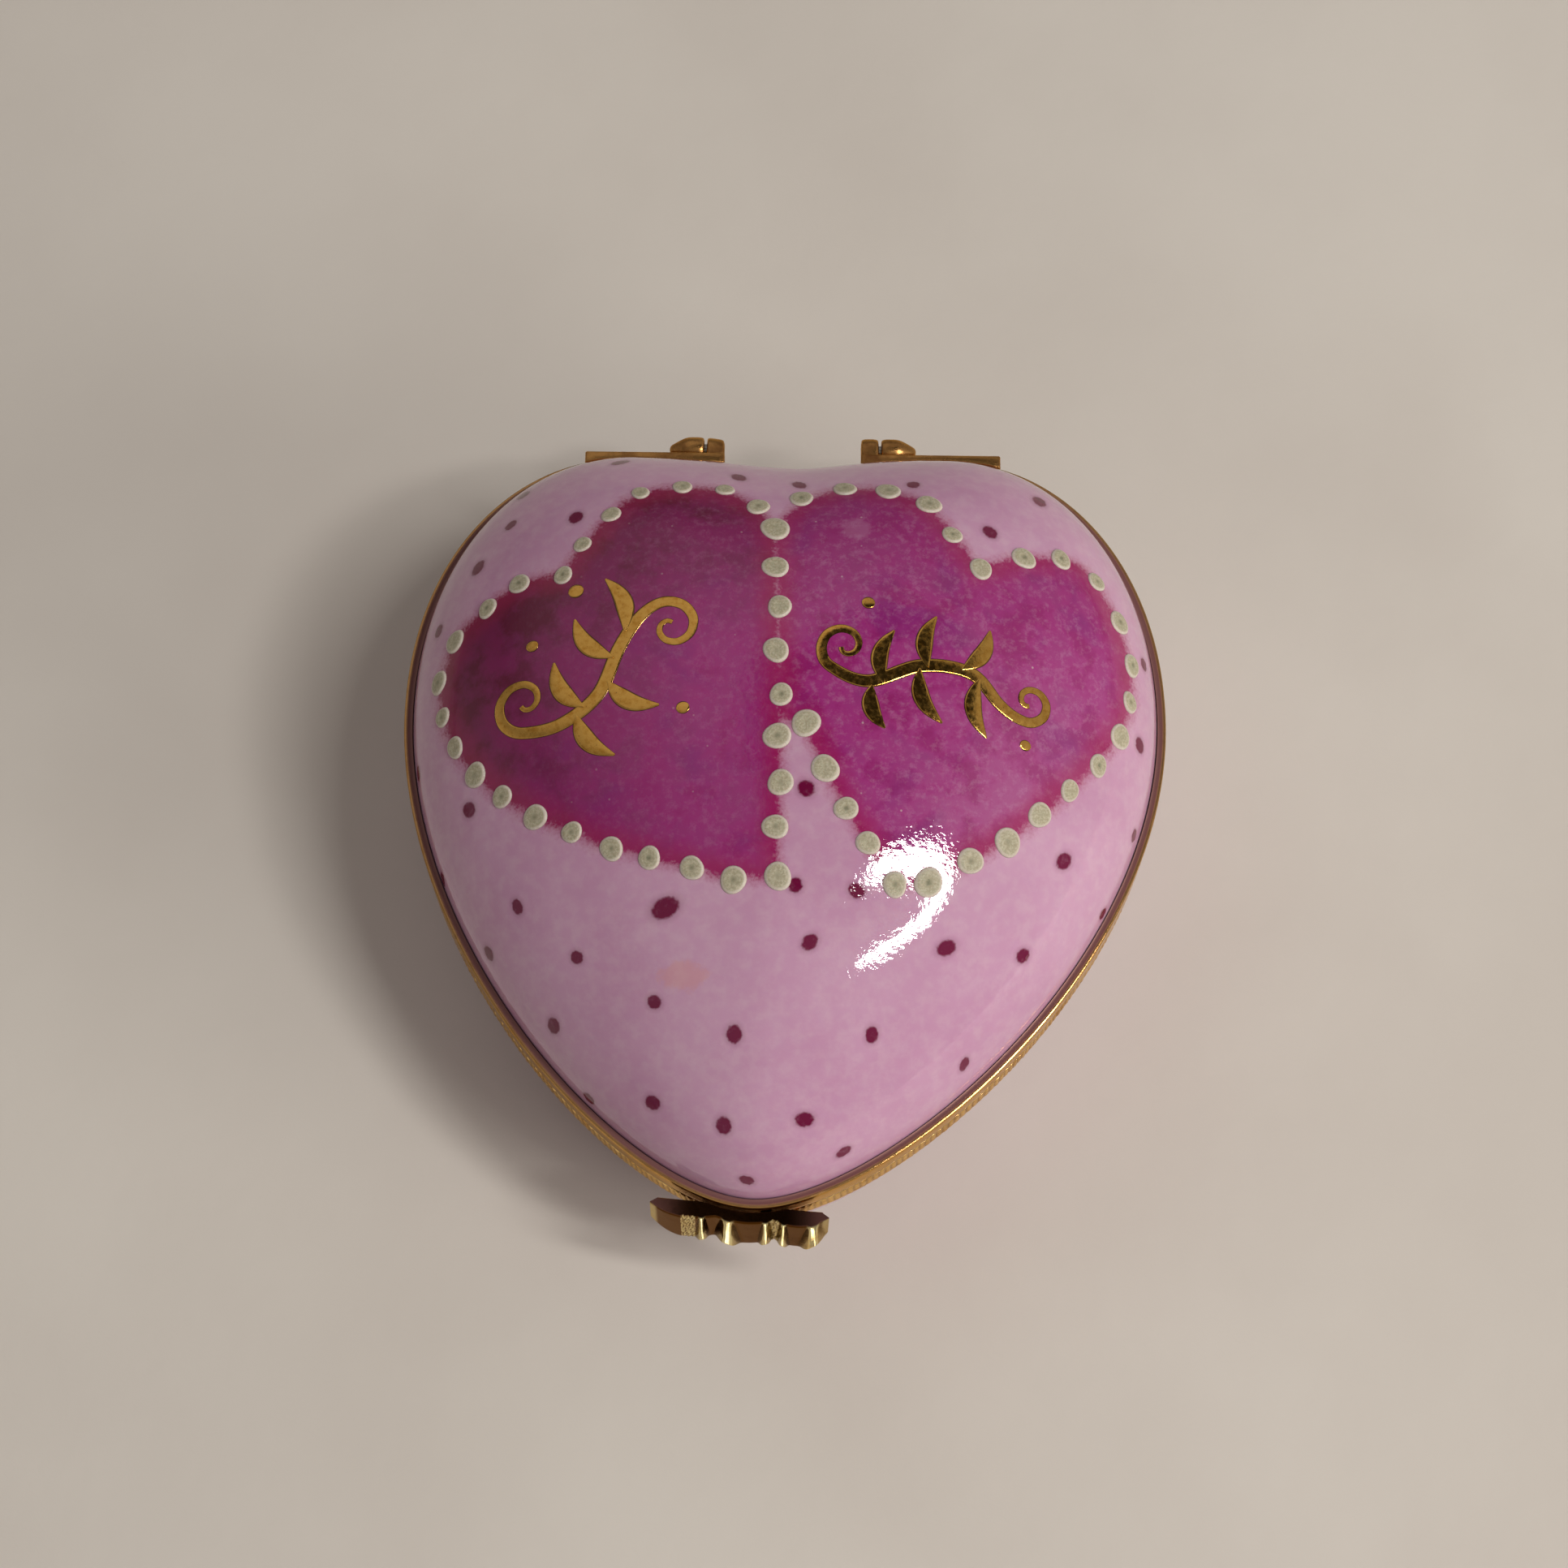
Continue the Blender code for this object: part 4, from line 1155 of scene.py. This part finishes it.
def curved_softbox():
    """A curved window of light, high on the right, whose reflection lies on the front of the dome."""
    over = np.array([0.008, -0.010, PARTING_Z * MM + 0.012])
    bend = [(0.335, -0.045), (0.43, -0.065), (0.53, -0.10), (0.60, -0.17)]
    bend += [(0.59, -0.255), (0.52, -0.305), (0.435, -0.33)]
    ribbon = smooth_run(bend, 60)
    t = np.linspace(0.0, 1.0, len(ribbon))
    half = np.interp(t, (0.0, 0.08, 0.25, 0.5, 0.9, 1.0), (0.034, 0.042, 0.046, 0.036, 0.029, 0.018))
    along = np.gradient(ribbon, axis=0)
    along /= np.hypot(*along.T)[:, None]
    across = np.column_stack([-along[:, 1], along[:, 0]])
    reach = 0.7
    points = []
    for side in (-1.0, 1.0):
        flat = ribbon + across * half[:, None] * side
        up = np.sqrt(clamp(1.0 - (flat**2).sum(axis=1)))
        points.extend(over + np.column_stack([flat, up]) * reach)
    count = len(ribbon)
    faces = [(k, k + 1, count + k + 1, count + k) for k in range(count - 1)]
    mesh = bpy.data.meshes.new("softbox")
    mesh.from_pydata([tuple(p) for p in points], [], faces)
    material = bpy.data.materials.new("softbox_light")
    material.use_nodes = True
    tree = material.node_tree
    tree.nodes.clear()
    glow = add_node(tree, "Emission", {"Color": (1.0, 0.97, 0.93), "Strength": 34.0})
    add_node(tree, "OutputMaterial", {"Surface": glow.outputs[0]})
    mesh.materials.append(material)
    softbox = bpy.data.objects.new("softbox", mesh)
    bpy.context.scene.collection.objects.link(softbox)
    softbox.visible_camera = False


def sky_cap(tree, coords, direction, inner, outer):
    """Share of a soft round cap of the sky about a direction, with its radii in degrees."""
    inputs = {0: coords.outputs["Generated"], 1: tuple(Vector(direction).normalized())}
    toward = add_node(tree, "VectorMath", inputs, operation="DOT_PRODUCT").outputs["Value"]
    low, high = math.cos(math.radians(outer)), math.cos(math.radians(inner))
    inputs = {"Value": toward, "From Min": low, "From Max": high}
    return add_node(tree, "MapRange", inputs, interpolation_type="SMOOTHSTEP").outputs["Result"]


def scale_and_add(tree, value, scale, offset):
    return add_node(tree, "Math", {0: value, 1: scale, 2: offset}, operation="MULTIPLY_ADD").outputs[0]


def world_light():
    """A pale room with brighter walls and a dark place overhead.
    Each patch of sky: direction, inner and outer radius in degrees, added light."""
    world = bpy.data.worlds.new("room")
    bpy.context.scene.world = world
    world.use_nodes = True
    tree = world.node_tree
    coords = add_node(tree, "TexCoord", {})
    patches = (
        ((-0.35, 0.55, 0.76), 14.0, 38.0, 0.26),
        ((0.80, 0.25, 0.54), 20.0, 80.0, 0.20),
        ((-0.35, -0.72, 0.60), 15.0, 50.0, 0.18),
        ((-0.97, -0.10, 0.12), 10.0, 38.0, 0.20),
    )
    level = 0.15
    for direction, inner, outer, gain in patches:
        level = scale_and_add(tree, sky_cap(tree, coords, direction, inner, outer), gain, level)
    overhead = sky_cap(tree, coords, (0.242, 0.242, 0.940), 16.5, 20.0)
    open_share = scale_and_add(tree, overhead, -0.95, 1.0)
    shade = tree.nodes["Background"]
    shade.inputs["Color"].default_value = (1.0, 0.93, 0.87, 1.0)
    light = add_node(tree, "Math", {0: level, 1: open_share}, operation="MULTIPLY")
    tree.links.new(light.outputs[0], shade.inputs["Strength"])


def clasp_glint():
    """A low lamp in front that lights the clasp alone, for the bright streaks on its ribs."""
    lamp = area_light("clasp_glint", (0.0, -0.6, 0.15), (0.0, -0.028, 0.012), (0.28, 0.22), 0.5)
    only = bpy.data.collections.new("clasp_glint_lights")
    only.objects.link(bpy.data.objects["clasp_scallop"])
    lamp.light_linking.receiver_collection = only


def set_lights():
    world_light()
    curved_softbox()
    clasp_glint()
    low = area_light("low_side", (0.42, -0.22, 0.16), (0, 0, 0.01), (0.25, 0.25), 1.0)
    low.visible_glossy = False


def set_camera():
    """Camera above the front, with the lens and distance of a close hand-held shot."""
    elevation, azimuth, roll = (math.radians(a) for a in (70.04, -0.12, 0.79))
    distance = 200.87
    target = np.array([-0.35, -0.11, PARTING_Z + 5.0])
    level = math.cos(elevation)
    back = np.array([math.sin(azimuth) * level, -math.cos(azimuth) * level, math.sin(elevation)])
    right = np.cross(-back, (0.0, 0.0, 1.0))
    right /= np.linalg.norm(right)
    up = np.cross(right, -back)
    rolled = right * math.cos(roll) + up * math.sin(roll)
    upright = up * math.cos(roll) - right * math.sin(roll)
    data = bpy.data.cameras.new("camera")
    data.sensor_width = 36.0
    data.lens = 70.8
    data.clip_start = 0.01
    camera = bpy.data.objects.new("camera", data)
    turn = Matrix((rolled, upright, back)).transposed().to_4x4()
    camera.matrix_world = Matrix.Translation(Vector((target + back * distance) * MM)) @ turn
    bpy.context.scene.collection.objects.link(camera)
    bpy.context.scene.camera = camera
    bpy.context.scene.view_settings.view_transform = "Standard"


def main():
    build_lid()
    build_base()
    build_enamel_dots()
    build_gilding()
    build_band("lid_band", "lid_bezel", LID_BAND[0], LID_BAND[1], "lid", chased=False)
    build_band("base_band", "base_bezel", BASE_BAND[1], BASE_BAND[0], "base", chased=True)
    build_clasp()
    build_clasp_seat()
    finish_small_parts()
    stage_floor()
    set_lights()
    set_camera()


main()
